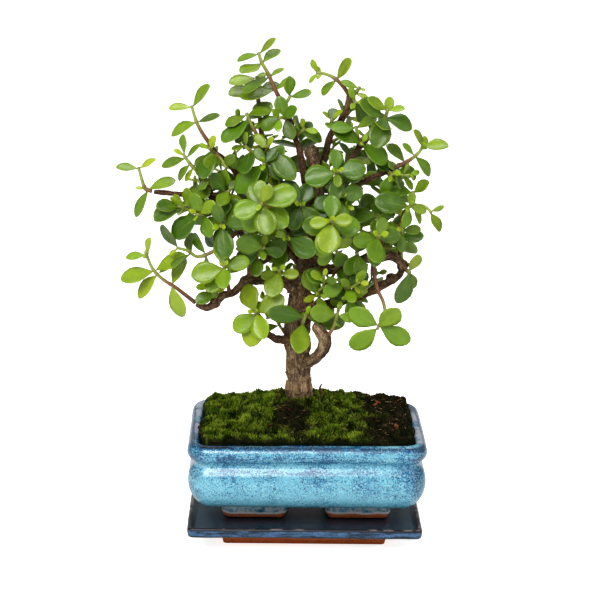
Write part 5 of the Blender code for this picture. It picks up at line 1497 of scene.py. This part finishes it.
def add_stem(bm, line, sizes, joints, workshop, foot_age):
    """A fine stem with a swollen ring at each joint, greener towards its tip."""
    fine, radii = smooth_line(line, sizes, STEM_STEP_SHOWN)
    whole = line_length(fine)
    done, rings = 0.0, []
    for i, place in enumerate(fine):
        done += (place - fine[i - 1]).length if i else 0.0
        from_tip = whole - done
        near_joint = max((math.exp(-((from_tip - joint) / COLLAR_REACH) ** 2) for joint in joints),
                         default=0.0)
        rings.append(near_joint)
    radii = [size * (1 + COLLAR_SWELL * ring) for size, ring in zip(radii, rings)]
    made = tube("stem", fine, radii, STEM_SIDES_SHOWN, workshop)
    mesh = made.data
    mesh.transform(Matrix.Scale(1 / MM, 4))
    for name in MARKS:
        mesh.attributes.new(name, "FLOAT", "POINT")
    age, ring = mesh.attributes["age"].data, mesh.attributes["upper"].data
    for vert in mesh.vertices:
        share = distance_along(fine, vert.co) / whole
        age[vert.index].value = foot_age * (1 - share)
        ring[vert.index].value = rings[min(len(rings) - 1, round(share * (len(rings) - 1)))]
    for face in mesh.polygons:
        face.material_index = 1
    bm.from_mesh(mesh)
    bpy.data.objects.remove(made, do_unlink=True)
    bpy.data.meshes.remove(mesh)


def make_foliage(stems, plans, leaf_look, stem_look):
    """One piece for each spray: its stems and its fine leaves."""
    workshop = bpy.data.collections.new("fine_stems")
    bpy.context.scene.collection.children.link(workshop)
    source = random.Random(SEED + 1)
    made = []
    for name, (lines, radii, _) in stems.items():
        bm = bmesh.new()
        for mark in MARKS:
            bm.verts.layers.float.new(mark)
        for leaf in plans[name]:
            grow_leaf(bm, leaf, source, 0.62 if name in FRESH_SPRAYS else 1.0)
        for number, (line, sizes) in enumerate(zip(lines, radii)):
            joints = [pair[0] for pair in SPRAYS[name][number][1]]
            foot_age = 1.0 if line_length(line) > 24 and not number else 0.62
            add_stem(bm, line, sizes, joints, workshop, foot_age)
        made.append((name, bm))
    bpy.data.collections.remove(workshop)
    for name, bm in made:
        piece = show(name.replace("spray", "foliage"), bm, (leaf_look, stem_look))
        stand_for(piece, "leaf", name)


def leaf_record(leaf, templates):
    """A placed leaf as clear_leaf keeps it: its middle, and its whole and outer surfaces."""
    shape, _ = templates[leaf["length"] > SMALL_LEAF]
    points, faces = leaf["points"], leaf["faces"]
    return (
        leaf["base"] + leaf["axis"] * leaf["length"] / 2,
        BVHTree.FromPolygons(points, faces),
        BVHTree.FromPolygons(points, outer_faces(shape, faces)),
    )


def shoot_start(source, hosts, kind):
    """A place on a limb or twig, and the way that a young shoot grows out of it."""
    line = source.choice(hosts)
    place, tangent = point_from_tip(line, line_length(line) * source.uniform(0.02, 0.95))
    out = place - Vector((CROWN_MIDDLE.x, CROWN_MIDDLE.y - 4, place.z - 8))
    astray = Vector([source.uniform(-1, 1) for _ in range(3)])
    heading = out.normalized() * 0.7 + tangent * 0.35 + astray * 0.75
    heading += Vector((0.0, kind["back"], 0.3 * kind["back"]))
    return place, heading.normalized(), source.uniform(*kind["length"])


def in_crown(place):
    """Whether a place lies in the thick of the crown, clear of its long outer shoots."""
    x, z = (place.x - CROWN_CORE[0]) / CROWN_CORE[2], (place.z - CROWN_CORE[1]) / CROWN_CORE[3]
    return x * x + z * z < 1 and CROWN_FRONT < place.y < CROWN_BACK


def grow_shoot(source, kind, start, around, placed, templates):
    """A shoot's line, sizes and leaves, or None where too few leaves find room."""
    foot, heading, length = start
    tip = foot + heading * length + Vector((0.0, 0.0, 0.12 * length))
    middle = foot.lerp(tip, 0.5) - Vector((0.0, 0.0, 0.06 * length))
    line, sizes = smooth_line([foot, middle, tip], [kind["thick"], 0.9, 0.7], 3.0)
    close = [leaf for leaf in placed if near(leaf[0], middle, SHOOT_REACH + length / 2)]
    gaps = (tree.find_nearest(spot)[3] for spot in line[1:] for _, tree, _ in close)
    if min(gaps, default=SHOOT_GAP) < SHOOT_GAP:
        return None
    turn, own, leaves = source.uniform(0, 180), [], []
    for number, (small, large) in enumerate(kind["leaves"]):
        distance = 0.6 + kind["space"] * number
        if distance > length - 4 or number > 1 and not leaves:
            break
        lean = min(70, 42 + 12 * number)
        for side in (1, -1):
            size = source.uniform(small, large)
            pair = (distance, size, size, turn + 90 * number, lean, lean)
            leaf = clear_leaf(line, pair, side, leaf_draws(source), templates, (own, around, close))
            if leaf:
                leaves.append(leaf)
    if len(leaves) < kind["least"]:
        return None
    placed.extend(own)
    return line, sizes, leaves


def make_young_shoots(stems, plans, wood, wood_lines, looks):
    """Leafy shoots that the solids' few triangles leave out, most of them at the back."""
    workshop = bpy.data.collections.new("fine_shoots")
    bpy.context.scene.collection.children.link(workshop)
    source = random.Random(SEED + 4)
    templates = leaf_template(SMALL_RINGS), leaf_template(LEAF_RINGS)
    placed = [leaf_record(leaf, templates) for leaves in plans.values() for leaf in leaves]
    twigs = [(line, tree) for lines, _, trees in stems.values() for line, tree in zip(lines, trees)]
    hosts = wood_lines * 2 + [line for line, _ in twigs]
    bm = bmesh.new()
    for mark in MARKS:
        bm.verts.layers.float.new(mark)
    for kind in SHOOT_KINDS:
        grown = 0
        for _ in range(kind["tries"]):
            foot, heading, length = start = shoot_start(source, hosts, kind)
            tip = foot + heading * length
            chance = kind["front"] if tip.y < kind["from_y"] else 1.0
            if grown >= kind["count"] or not in_crown(tip) or source.random() > chance:
                continue
            reach = SHOOT_REACH + length / 2
            around = [wood] + [
                tree for twig, tree in twigs if any(near(spot, tip, reach) for spot in twig)
            ]
            made = grow_shoot(source, kind, start, around, placed, templates)
            if not made:
                continue
            grown += 1
            line, sizes, leaves = made
            shoot = bmesh.new()
            for mark in MARKS:
                shoot.verts.layers.float.new(mark)
            for leaf in leaves:
                grow_leaf(shoot, leaf, source, 1.0)
            add_stem(shoot, line, sizes, [0.6, 0.6 + kind["space"]], workshop, 0.5)
            mesh = bpy.data.meshes.new("shoot")
            shoot.to_mesh(mesh)
            shoot.free()
            bm.from_mesh(mesh)
            bpy.data.meshes.remove(mesh)
            test = tube("shoot", line, sizes, 4, workshop)
            twigs.append((line, tree_of(test)))
            bpy.data.objects.remove(test, do_unlink=True)
    bpy.data.collections.remove(workshop)
    add_on(show("young_shoots", bm, looks))


def bark_frames(line):
    """Two axes square to a limb at each of its points, that don't spin along it."""
    tangents = [(b - a).normalized() for a, b in zip(line, line[1:])]
    tangents.append(tangents[-1])
    overall = (line[-1] - line[0]).normalized()
    reference = overall.orthogonal().normalized()
    frames = []
    for tangent in tangents:
        first = (reference - tangent * reference.dot(tangent)).normalized()
        frames.append((first, tangent.cross(first)))
        reference = first
    return frames


def bark_coordinates(points, limbs):
    """For each surface point: its place round and along its limb, and the limb's radius there."""
    starts, ends, sizes, firsts, seconds, reach = [], [], [], [], [], []
    for number, (line, radii) in enumerate(limbs):
        frames, done = bark_frames(line), 37.0 * number
        for i in range(len(line) - 1):
            starts.append(line[i])
            ends.append(line[i + 1])
            sizes.append((radii[i], radii[i + 1]))
            firsts.append((frames[i][0], frames[i + 1][0]))
            seconds.append((frames[i][1], frames[i + 1][1]))
            step = (line[i + 1] - line[i]).length
            reach.append((done, done + step))
            done += step
    start, end = np.array(starts), np.array(ends)
    sizes, firsts, seconds, reach = map(np.array, (sizes, firsts, seconds, reach))
    along = end - start
    places, girths = np.empty((len(points), 3)), np.empty(len(points))
    for low in range(0, len(points), 4000):
        chunk = points[low:low + 4000]
        offset = chunk[:, None, :] - start
        share = np.clip((offset * along).sum(2) / (along * along).sum(1), 0, 1)
        away = np.linalg.norm(offset - share[..., None] * along, axis=2)
        size = sizes[:, 0] + (sizes[:, 1] - sizes[:, 0]) * share
        best = np.argmin(away - size, axis=1)
        row = np.arange(len(chunk))
        part = share[row, best]
        spot = start[best] + along[best] * part[:, None]
        first = firsts[best, 0] * (1 - part)[:, None] + firsts[best, 1] * part[:, None]
        second = seconds[best, 0] * (1 - part)[:, None] + seconds[best, 1] * part[:, None]
        out = chunk - spot
        run = reach[best, 0] + (reach[best, 1] - reach[best, 0]) * part
        places[low:low + 4000] = np.column_stack(((out * first).sum(1), (out * second).sum(1), run))
        girths[low:low + 4000] = size[row, best]
    return places, girths


def fine_limbs(lines):
    """The limbs with finer steps, uneven girth, old leaf rings, and a flare where the trunk roots."""
    limbs = []
    for number, (name, (points, radii)) in enumerate(LIMBS.items()):
        points = [Vector(point) for point in points]
        if name == "trunk":
            points, radii = [trunk_foot(), *points], [TRUNK_RADIUS, *radii]
        else:
            points[0] = nearest_on_lines(points[0], lines[:number])
        line, sizes = smooth_line(points, radii, BARK_STEP)
        for i, place in enumerate(line):
            swell = noise.noise(place * 0.11 + Vector((number * 9.0, 0.0, 0.0)))
            ring = max(0.0, noise.noise(Vector((i * 0.9, number * 5.0, 3.0))))
            sizes[i] *= 1 + 0.12 * swell + 0.14 * ring
            if name == "trunk":
                above = place.z - 84
                sizes[i] *= 1 + 0.2 * math.exp(-max(0.0, above) / 5)
        limbs.append((line, sizes))
    return limbs


def make_bark(lines, look):
    """The trunk and limbs as one skin, remeshed so that they flow together, then furrowed."""
    limbs = fine_limbs(lines)
    workshop = bpy.data.collections.new("limbs_to_join")
    bpy.context.scene.collection.children.link(workshop)
    bm = bmesh.new()
    for line, sizes in limbs:
        made = tube("limb", line, sizes, BARK_SIDES, workshop)
        bm.from_mesh(made.data)
        bpy.data.objects.remove(made, do_unlink=True)
    bmesh.ops.scale(bm, vec=(1 / MM, 1 / MM, 1 / MM), verts=bm.verts)
    for place, radius in SCARS + BURLS:
        bmesh.ops.create_icosphere(
            bm, subdivisions=2, radius=radius, matrix=Matrix.Translation(place)
        )
    bpy.data.collections.remove(workshop)
    rough = show("bark_skin", bm, ())
    remesh = rough.modifiers.new("one_skin", "REMESH")
    remesh.mode = "VOXEL"
    remesh.voxel_size = BARK_VOXEL * MM
    graph = bpy.context.evaluated_depsgraph_get()
    mesh = bpy.data.meshes.new_from_object(rough.evaluated_get(graph))
    bpy.data.objects.remove(rough, do_unlink=True)
    bm = bmesh.new()
    bm.from_mesh(mesh)
    bpy.data.meshes.remove(mesh)
    bmesh.ops.scale(bm, vec=(1 / MM, 1 / MM, 1 / MM), verts=bm.verts)
    for _ in range(2):
        bmesh.ops.smooth_vert(bm, verts=bm.verts, factor=0.5, use_axis_x=True, use_axis_y=True,
                              use_axis_z=True)
    points = np.array([vert.co for vert in bm.verts])
    places, girths = bark_coordinates(points, limbs)
    place_mark = bm.verts.layers.float_vector.new("bark_place")
    girth_mark = bm.verts.layers.float.new("girth")
    furrow_mark = bm.verts.layers.float.new("furrow")
    scar_mark = bm.verts.layers.float.new("scar")
    bm.normal_update()
    for vert, place, girth in zip(bm.verts, places, girths):
        grain = Vector((place[0] * 0.38, place[1] * 0.38, place[2] * 0.17))
        depth = noise.turbulence(grain, 3, False)
        lumps = noise.noise(Vector(place) * 0.16)
        rings = noise.noise(Vector((place[0] * 0.05, place[1] * 0.05, place[2] * 0.8)))
        vert[place_mark] = Vector(place) * MM
        vert[girth_mark] = girth
        vert[furrow_mark] = depth
        vert[scar_mark] = max(
            1 - (vert.co - Vector(spot)).length / (1.3 * radius) for spot, radius in PALE_SCARS
        )
        rise = BARK_FURROW * girth * (depth - 0.5) * 2.0 + 0.08 * girth * lumps + 0.15 * rings
        vert.co += vert.normal * rise
    piece = show("bark", bm, (look,))
    stand_for(piece, "bark", "trunk")


def fine_profile(profile, first, last, cuts):
    """A profile with its levels from first to last rounded by a smooth line through them."""
    line, _ = smooth_line([Vector((height, inset, 0.0)) for height, inset in profile[first:last]],
                          [1.0] * (last - first), cuts)
    return [*profile[:first], *((spot.x, spot.y) for spot in line), *profile[last:]]


def cut_long_edges(bm, cell):
    """Splits the long level edges of a thrown wall, so that the wall can waver."""
    long_edges = [
        edge for edge in bm.edges
        if edge.calc_length() > 2 * cell and abs(edge.verts[0].co.z - edge.verts[1].co.z) < 0.5
    ]
    bmesh.ops.subdivide_edges(bm, edges=long_edges, cuts=14, use_grid_fill=True)


def waver(bm, size, scale):
    """Pushes a wall in and out a little, as hand-made ware is."""
    bm.normal_update()
    for vert in bm.verts:
        vert.co += vert.normal * (size * noise.noise(vert.co * scale))


def make_pot(look):
    """The pot with a rounded profile, its feet joined on."""
    bm = bmesh.new()
    profile = fine_profile(POT_PROFILE, 1, 16, 1.1)
    loft(bm, inset_levels(POT_HALF, POT_CORNER, profile, POT_MIDDLE))
    cut_long_edges(bm, WALL_CELL)
    bmesh.ops.recalc_face_normals(bm, faces=bm.faces)
    warp_pot(bm)
    waver(bm, GLAZE_WOBBLE, 0.06)
    pot = show("glazed_pot", bm, (look,))
    feet = bpy.data.collections.new("feet_to_join")
    bpy.context.scene.collection.children.link(feet)
    low, high = SAUCER_FLOOR + GAP, POT_BASE + 3.0
    profile = ((low, 3.6), (low + 0.5, 2.8), (low + 2.2, 1.5), (low + 4.0, 0.5), (high - 4.0, 0.2),
               (high, -0.6))
    for side_x in (-1, 1):
        for side_y in (-1, 1):
            bm = bmesh.new()
            place = (POT_MIDDLE[0] + side_x * FOOT_SPREAD[0], side_y * FOOT_SPREAD[1])
            loft(bm, inset_levels(FOOT_HALF, FOOT_CORNER, profile, place))
            cut_long_edges(bm, WALL_CELL)
            bmesh.ops.recalc_face_normals(bm, faces=bm.faces)
            waver(bm, GLAZE_WOBBLE, 0.12)
            foot = show("foot", bm, ())
            bpy.context.scene.collection.objects.unlink(foot)
            feet.objects.link(foot)
    apply_boolean(pot, "UNION", feet)
    bpy.data.collections.remove(feet)
    stand_for(pot, "pot_glaze", "pot")


def make_saucer(look):
    bm = bmesh.new()
    profile = (
        (0.0, 22.4), (0.3, 22.0), (4.6, 21.1), (5.4, 20.2), (5.8, 18.5), (8.4, 10.2), (10.8, 2.6),
        (11.5, 1.0), (12.4, 0.1), (14.6, -0.3), (16.6, -0.35), (17.3, 0.0), (17.6, 0.8),
        (17.5, 1.6), (17.0, 2.4), (15.4, 3.6), (SAUCER_FLOOR, 4.4), (SAUCER_FLOOR - 0.1, 20.0),
    )
    loft(bm, inset_levels(SAUCER_HALF, SAUCER_CORNER, profile))
    cut_long_edges(bm, WALL_CELL)
    bmesh.ops.recalc_face_normals(bm, faces=bm.faces)
    for vert in bm.verts:
        if vert.co.z > 6:
            vert.co += vert.normal * (GLAZE_WOBBLE * noise.noise(vert.co * 0.06))
    piece = show("glazed_saucer", bm, (look,))
    stand_for(piece, "saucer_glaze", "saucer")


def dryness(x, y):
    """How brown the moss is: least at the left, most in front of the trunk and to the right."""
    foot = trunk_foot()
    front = math.exp(-(((x - foot.x + 2) / 18) ** 2 + ((y - foot.y + 28) / 23) ** 2))
    right = 1 / (1 + math.exp(-(x - 37) / 5))
    patch = noise.noise(Vector((x * 0.07, y * 0.07, 4.0)))
    return max(0.0, min(1.0, 0.95 * front + 1.0 * right + 0.5 * patch))


def moss_lump(x, y):
    """The clumps of the moss, from about -1 in the hollows to 1 on the crowns."""
    return (
        noise.noise(Vector((x * 0.12, y * 0.12, 1.0)))
        + 0.8 * noise.noise(Vector((x * 0.33, y * 0.33, 2.0)))
        + 0.4 * noise.noise(Vector((x * 0.8, y * 0.8, 5.0)))
    )


def moss_top(x, y):
    """The moss's height: clumps that stand higher towards the back, and highest at its right."""
    back = max(0.0, min(1.0, (y + 5) / 30))
    right = 1 / (1 + math.exp(-(x - 22) / 6))
    rise = back * (0.9 + right * (1.0 + 1.6 * moss_lump(x * 0.6, y * 0.6 + 40)))
    return mound(x, y) + MOSS_THICK + moss_relief(x, y) + 1.9 * moss_lump(x, y) - 1.4 + rise


def make_moss(look):
    """A cushion whose every small face is drawn up to a point, as a shoot that leans its own way."""
    source = random.Random(SEED + 2)
    bm = bmesh.new()
    half_x, half_y = POT_HALF[0] - GROUND_INSET, POT_HALF[1] - GROUND_INSET
    bmesh.ops.create_grid(bm, x_segments=MOSS_CELLS[0], y_segments=MOSS_CELLS[1], size=1.0)
    shoot, dry = bm.verts.layers.float.new("shoot"), bm.verts.layers.float.new("dry")
    cell = 2 * half_x / MOSS_CELLS[0]
    for vert in bm.verts:
        x, y = round_corner(vert.co.x * half_x, vert.co.y * half_y, half_x, half_y, GROUND_CORNER)
        rim = max(0.0, min(half_x - abs(x), half_y - abs(y)))
        bulge = MOSS_OVERHANG * math.exp(-rim / 1.8) * (0.6 + noise.noise(Vector((x, y, 0)) * 0.25))
        flat = max(1.0, math.hypot(x, y))
        x, y = x + POT_MIDDLE[0] + bulge * x / flat, y + bulge * y / flat
        jitter = 0.0 if vert.is_boundary else 0.4 * cell
        x += source.uniform(-jitter, jitter)
        y += source.uniform(-jitter, jitter)
        height = moss_top(x, y) - 3.2 * math.exp(-rim / 1.2)
        vert.co = (x, y, max(height, RIM_TOP + 0.4))
        # Along the rim the dry mark also carries soil and painted shade where the moss meets the pot's
        # wall.
        vert[dry] = max(dryness(x, y), 0.75 * math.exp(-rim / 2.5))
        # Painted shade: the shoot mark is lowest in the hollows between clumps.
        vert[shoot] = max(0.0, 0.2 + 0.3 * moss_lump(x, y))
    top = bm.faces[:]
    border = [edge for edge in bm.edges if edge.is_boundary]
    walls = bmesh.ops.extrude_edge_only(bm, edges=border)["geom"]
    for item in walls:
        if isinstance(item, bmesh.types.BMVert):
            item.co.x = min(max(item.co.x, POT_MIDDLE[0] - half_x), POT_MIDDLE[0] + half_x)
            item.co.y = min(max(item.co.y, -half_y), half_y)
            item.co.z = mound(item.co.x, item.co.y) + GAP
    low = [edge for edge in bm.edges if edge.is_boundary]
    bmesh.ops.contextual_create(bm, geom=low)
    bm.normal_update()
    tips = bmesh.ops.poke(bm, faces=top)["verts"]
    for tip in tips:
        lump = moss_lump(tip.co.x, tip.co.y)
        height = source.uniform(*MOSS_SPIKE) * (1 - 0.5 * tip[dry])
        lean = Vector((source.uniform(-0.7, 0.7), source.uniform(-0.7, 0.7), 1.0)).normalized()
        tip.co += lean * height
        # Tall tips on high clumps are brightest: the moss's own green tips, and painted light on the
        # crowns.
        tip[shoot] = min(1.0, 0.3 + 0.25 * height + 0.5 * lump + source.uniform(-0.25, 0.25))
    bmesh.ops.recalc_face_normals(bm, faces=bm.faces)
    piece = show("moss_cushion", bm, (look,), smooth=False)
    stand_for(piece, "moss", "moss")


def ground_places(source, count):
    """Seeded places on the moss, more of them where it is dry."""
    half_x, half_y = POT_HALF[0] - GROUND_INSET - 3, POT_HALF[1] - GROUND_INSET - 3
    for _ in range(count):
        x = POT_MIDDLE[0] + source.uniform(-half_x, half_x)
        y = source.uniform(-half_y, half_y)
        if source.random() < dryness(x, y) ** 1.5:
            yield x, y


def add_scrap(bm, place, size, long, thick, turn, tilt):
    """A rough lump or flake: a ball that is squashed, turned and roughened."""
    squash = Matrix.Diagonal((size * long, size, size * thick, 1.0))
    turned = Matrix.Rotation(turn, 4, "Z") @ Matrix.Rotation(tilt, 4, "Y")
    made = bmesh.ops.create_icosphere(
        bm, subdivisions=1, radius=1.0, matrix=Matrix.Translation(place) @ turned @ squash
    )["verts"]
    for vert in made:
        vert.co += noise.noise_vector(vert.co * 1.3) * 0.35 * size * min(1.0, thick + 0.3)


def make_crumbs(soil_look, chip_look, straw_look, twig_look):
    """Soil crumbs, bark chips and straw lying on the moss, and short dead twigs stuck in it."""
    source = random.Random(SEED + 3)
    crumbs, chips, straw = bmesh.new(), bmesh.new(), bmesh.new()
    for x, y in ground_places(source, 1300):
        size = source.uniform(0.4, 1.2)
        add_scrap(crumbs, (x, y, moss_top(x, y) + 0.5 * size), size, source.uniform(0.8, 1.6), 0.7,
                  source.uniform(0, math.tau), 0.0)
    for x, y in (*CHIPS, *ground_places(source, 26)):
        size = source.uniform(0.7, 1.5)
        add_scrap(chips, (x, y, moss_top(x, y) + 0.8), size, source.uniform(1.2, 2.0), 0.3,
                  source.uniform(0, math.tau), source.uniform(-0.7, 0.7))
    for x, y in ground_places(source, 260):
        length, lift = source.uniform(1.5, 4.5), source.uniform(-0.5, 0.5)
        turn = Matrix.Rotation(source.uniform(0, math.tau), 4, "Z")
        lie = Matrix.Rotation(math.pi / 2 + lift, 4, "Y")
        bmesh.ops.create_cone(
            straw, cap_ends=True, segments=5, radius1=0.2, radius2=0.1, depth=length,
            matrix=Matrix.Translation((x, y, moss_top(x, y) + 0.9)) @ turn @ lie,
        )
    add_on(show("soil_crumbs", crumbs, (soil_look,), smooth=False))
    add_on(show("bark_chips", chips, (chip_look,), smooth=False))
    add_on(show("dry_straw", straw, (straw_look,)))
    workshop = bpy.data.collections.new("twigs_to_join")
    bpy.context.scene.collection.children.link(workshop)
    bm = bmesh.new()
    for x, y, lean_x, lean_y, length in TWIGS:
        foot = Vector((x, y, moss_top(x, y) - 1.0))
        bend = foot + Vector((lean_x, lean_y, length * 0.6))
        tip = bend + Vector((-lean_x * 0.4, lean_y, length * 0.5))
        thick = 0.5 + 0.05 * length
        line, sizes = smooth_line([foot, bend, tip], [thick, thick * 0.8, thick * 0.5], 1.2)
        made = tube("twig", line, sizes, 8, workshop)
        bm.from_mesh(made.data)
        bpy.data.objects.remove(made, do_unlink=True)
    bmesh.ops.scale(bm, vec=(1 / MM, 1 / MM, 1 / MM), verts=bm.verts)
    bpy.data.collections.remove(workshop)
    for vert in bm.verts:
        vert.co += noise.noise_vector(vert.co * 0.8) * 0.25
    add_on(show("dead_twigs", bm, (twig_look,)))


def dress_cad_nodes(soil_look, mesh_look):
    """The soil and the drain mesh keep their solids, with a finish of their own."""
    for name, look in (
        ("soil", soil_look), ("drain_mesh_left", mesh_look), ("drain_mesh_right", mesh_look)
    ):
        node = frame["nodes"][name]
        node.data.materials.clear()
        node.data.materials.append(look)


def make_stage():
    """A pale floor, soft light from a bright room, and three soft lamps."""
    bm = bmesh.new()
    bmesh.ops.create_grid(bm, x_segments=4, y_segments=4, size=6000.0)
    floor = show("floor", bm, (floor_finish(),))
    floor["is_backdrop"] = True
    world = bpy.data.worlds.new("bright_room")
    world.use_nodes = True
    nodes = Nodes(world.node_tree)
    seen = nodes.add("ShaderNodeLightPath").outputs["Is Camera Ray"]
    light = world.node_tree.nodes["Background"]
    light.inputs["Color"].default_value = (1.0, 1.0, 1.0, 1.0)
    nodes.feed(light.inputs["Strength"], nodes.calc("MULTIPLY_ADD", seen, 0.7, 0.32))
    bpy.context.scene.world = world
    for name, place, size, power in (
        ("key", (-0.5, -1.2, 1.15), 1.2, 21.0), ("fill", (1.1, -0.9, 0.7), 1.0, 3.0),
        ("top", (0.1, 0.4, 1.5), 1.0, 7.0),
    ):
        lamp = bpy.data.lights.new(name, "AREA")
        lamp.energy, lamp.shape = power, "RECTANGLE"
        lamp.size, lamp.size_y = size, 0.5 * size
        holder = bpy.data.objects.new(name, lamp)
        holder.location = place
        aim = Vector((0.0, 0.0, 0.15)) - Vector(place)
        holder.rotation_euler = aim.to_track_quat("-Z", "Y").to_euler()
        bpy.context.scene.collection.objects.link(holder)


def make_camera():
    """The photograph's view: a long lens, a little above the pot, turned and rolled by a degree."""
    yaw, pitch, roll = (math.radians(v) for v in (CAMERA_YAW, CAMERA_PITCH, CAMERA_ROLL))
    back = Vector((math.sin(yaw) * math.cos(pitch), -math.cos(yaw) * math.cos(pitch), math.sin(pitch)))
    place = (CAMERA_TARGET + back * CAMERA_DISTANCE) * MM
    level = (-back).cross(Vector((0.0, 0.0, 1.0))).normalized()
    rise = level.cross(-back)
    right = level * math.cos(roll) + rise * math.sin(roll)
    up = rise * math.cos(roll) - level * math.sin(roll)
    lens = bpy.data.cameras.new("camera")
    lens.lens, lens.sensor_width = CAMERA_LENS, CAMERA_SENSOR
    lens.clip_start = 0.01
    camera = bpy.data.objects.new("camera", lens)
    turn = Matrix((right, up, back)).transposed().to_4x4()
    camera.matrix_world = Matrix.Translation(place) @ turn
    bpy.context.scene.collection.objects.link(camera)
    bpy.context.scene.camera = camera


def write_sizes():
    """The frame's box, and the shown model's, as plain lists."""
    boxes = {"cad": cad_box, "shown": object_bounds()}
    sizes = {name: [list(corner) for corner in box] for name, box in boxes.items()}


def main():
    settings = bpy.context.scene.view_settings
    settings.view_transform, settings.look = "Standard", "Medium High Contrast"
    wood = tree_of(frame["nodes"]["trunk"])
    lines = limb_lines()
    stems = plan_stems(wood, lines)
    plans = plan_sprays(stems, wood)
    looks = leaf_finish(), stem_finish()
    make_young_shoots(stems, plans, wood, lines, looks)
    make_foliage(stems, plans, *looks)
    make_bark(lines, bark_finish())
    glaze = speckle_group()
    make_pot(pot_finish(glaze))
    make_saucer(saucer_finish(glaze))
    make_moss(moss_finish())
    soil_look = crumb_finish("soil", (0.012, 0.008, 0.005), (0.06, 0.035, 0.02))
    chip_look = crumb_finish("bark_chip", (0.12, 0.035, 0.01), (0.35, 0.13, 0.04))
    twig_look = crumb_finish("dead_twig", (0.03, 0.012, 0.008), (0.1, 0.045, 0.025))
    straw_look = crumb_finish("straw", (0.2, 0.13, 0.04), (0.6, 0.46, 0.2))
    make_crumbs(soil_look, chip_look, straw_look, twig_look)
    dress_cad_nodes(soil_look, plastic_finish())
    make_stage()
    make_camera()
    write_sizes()


main()
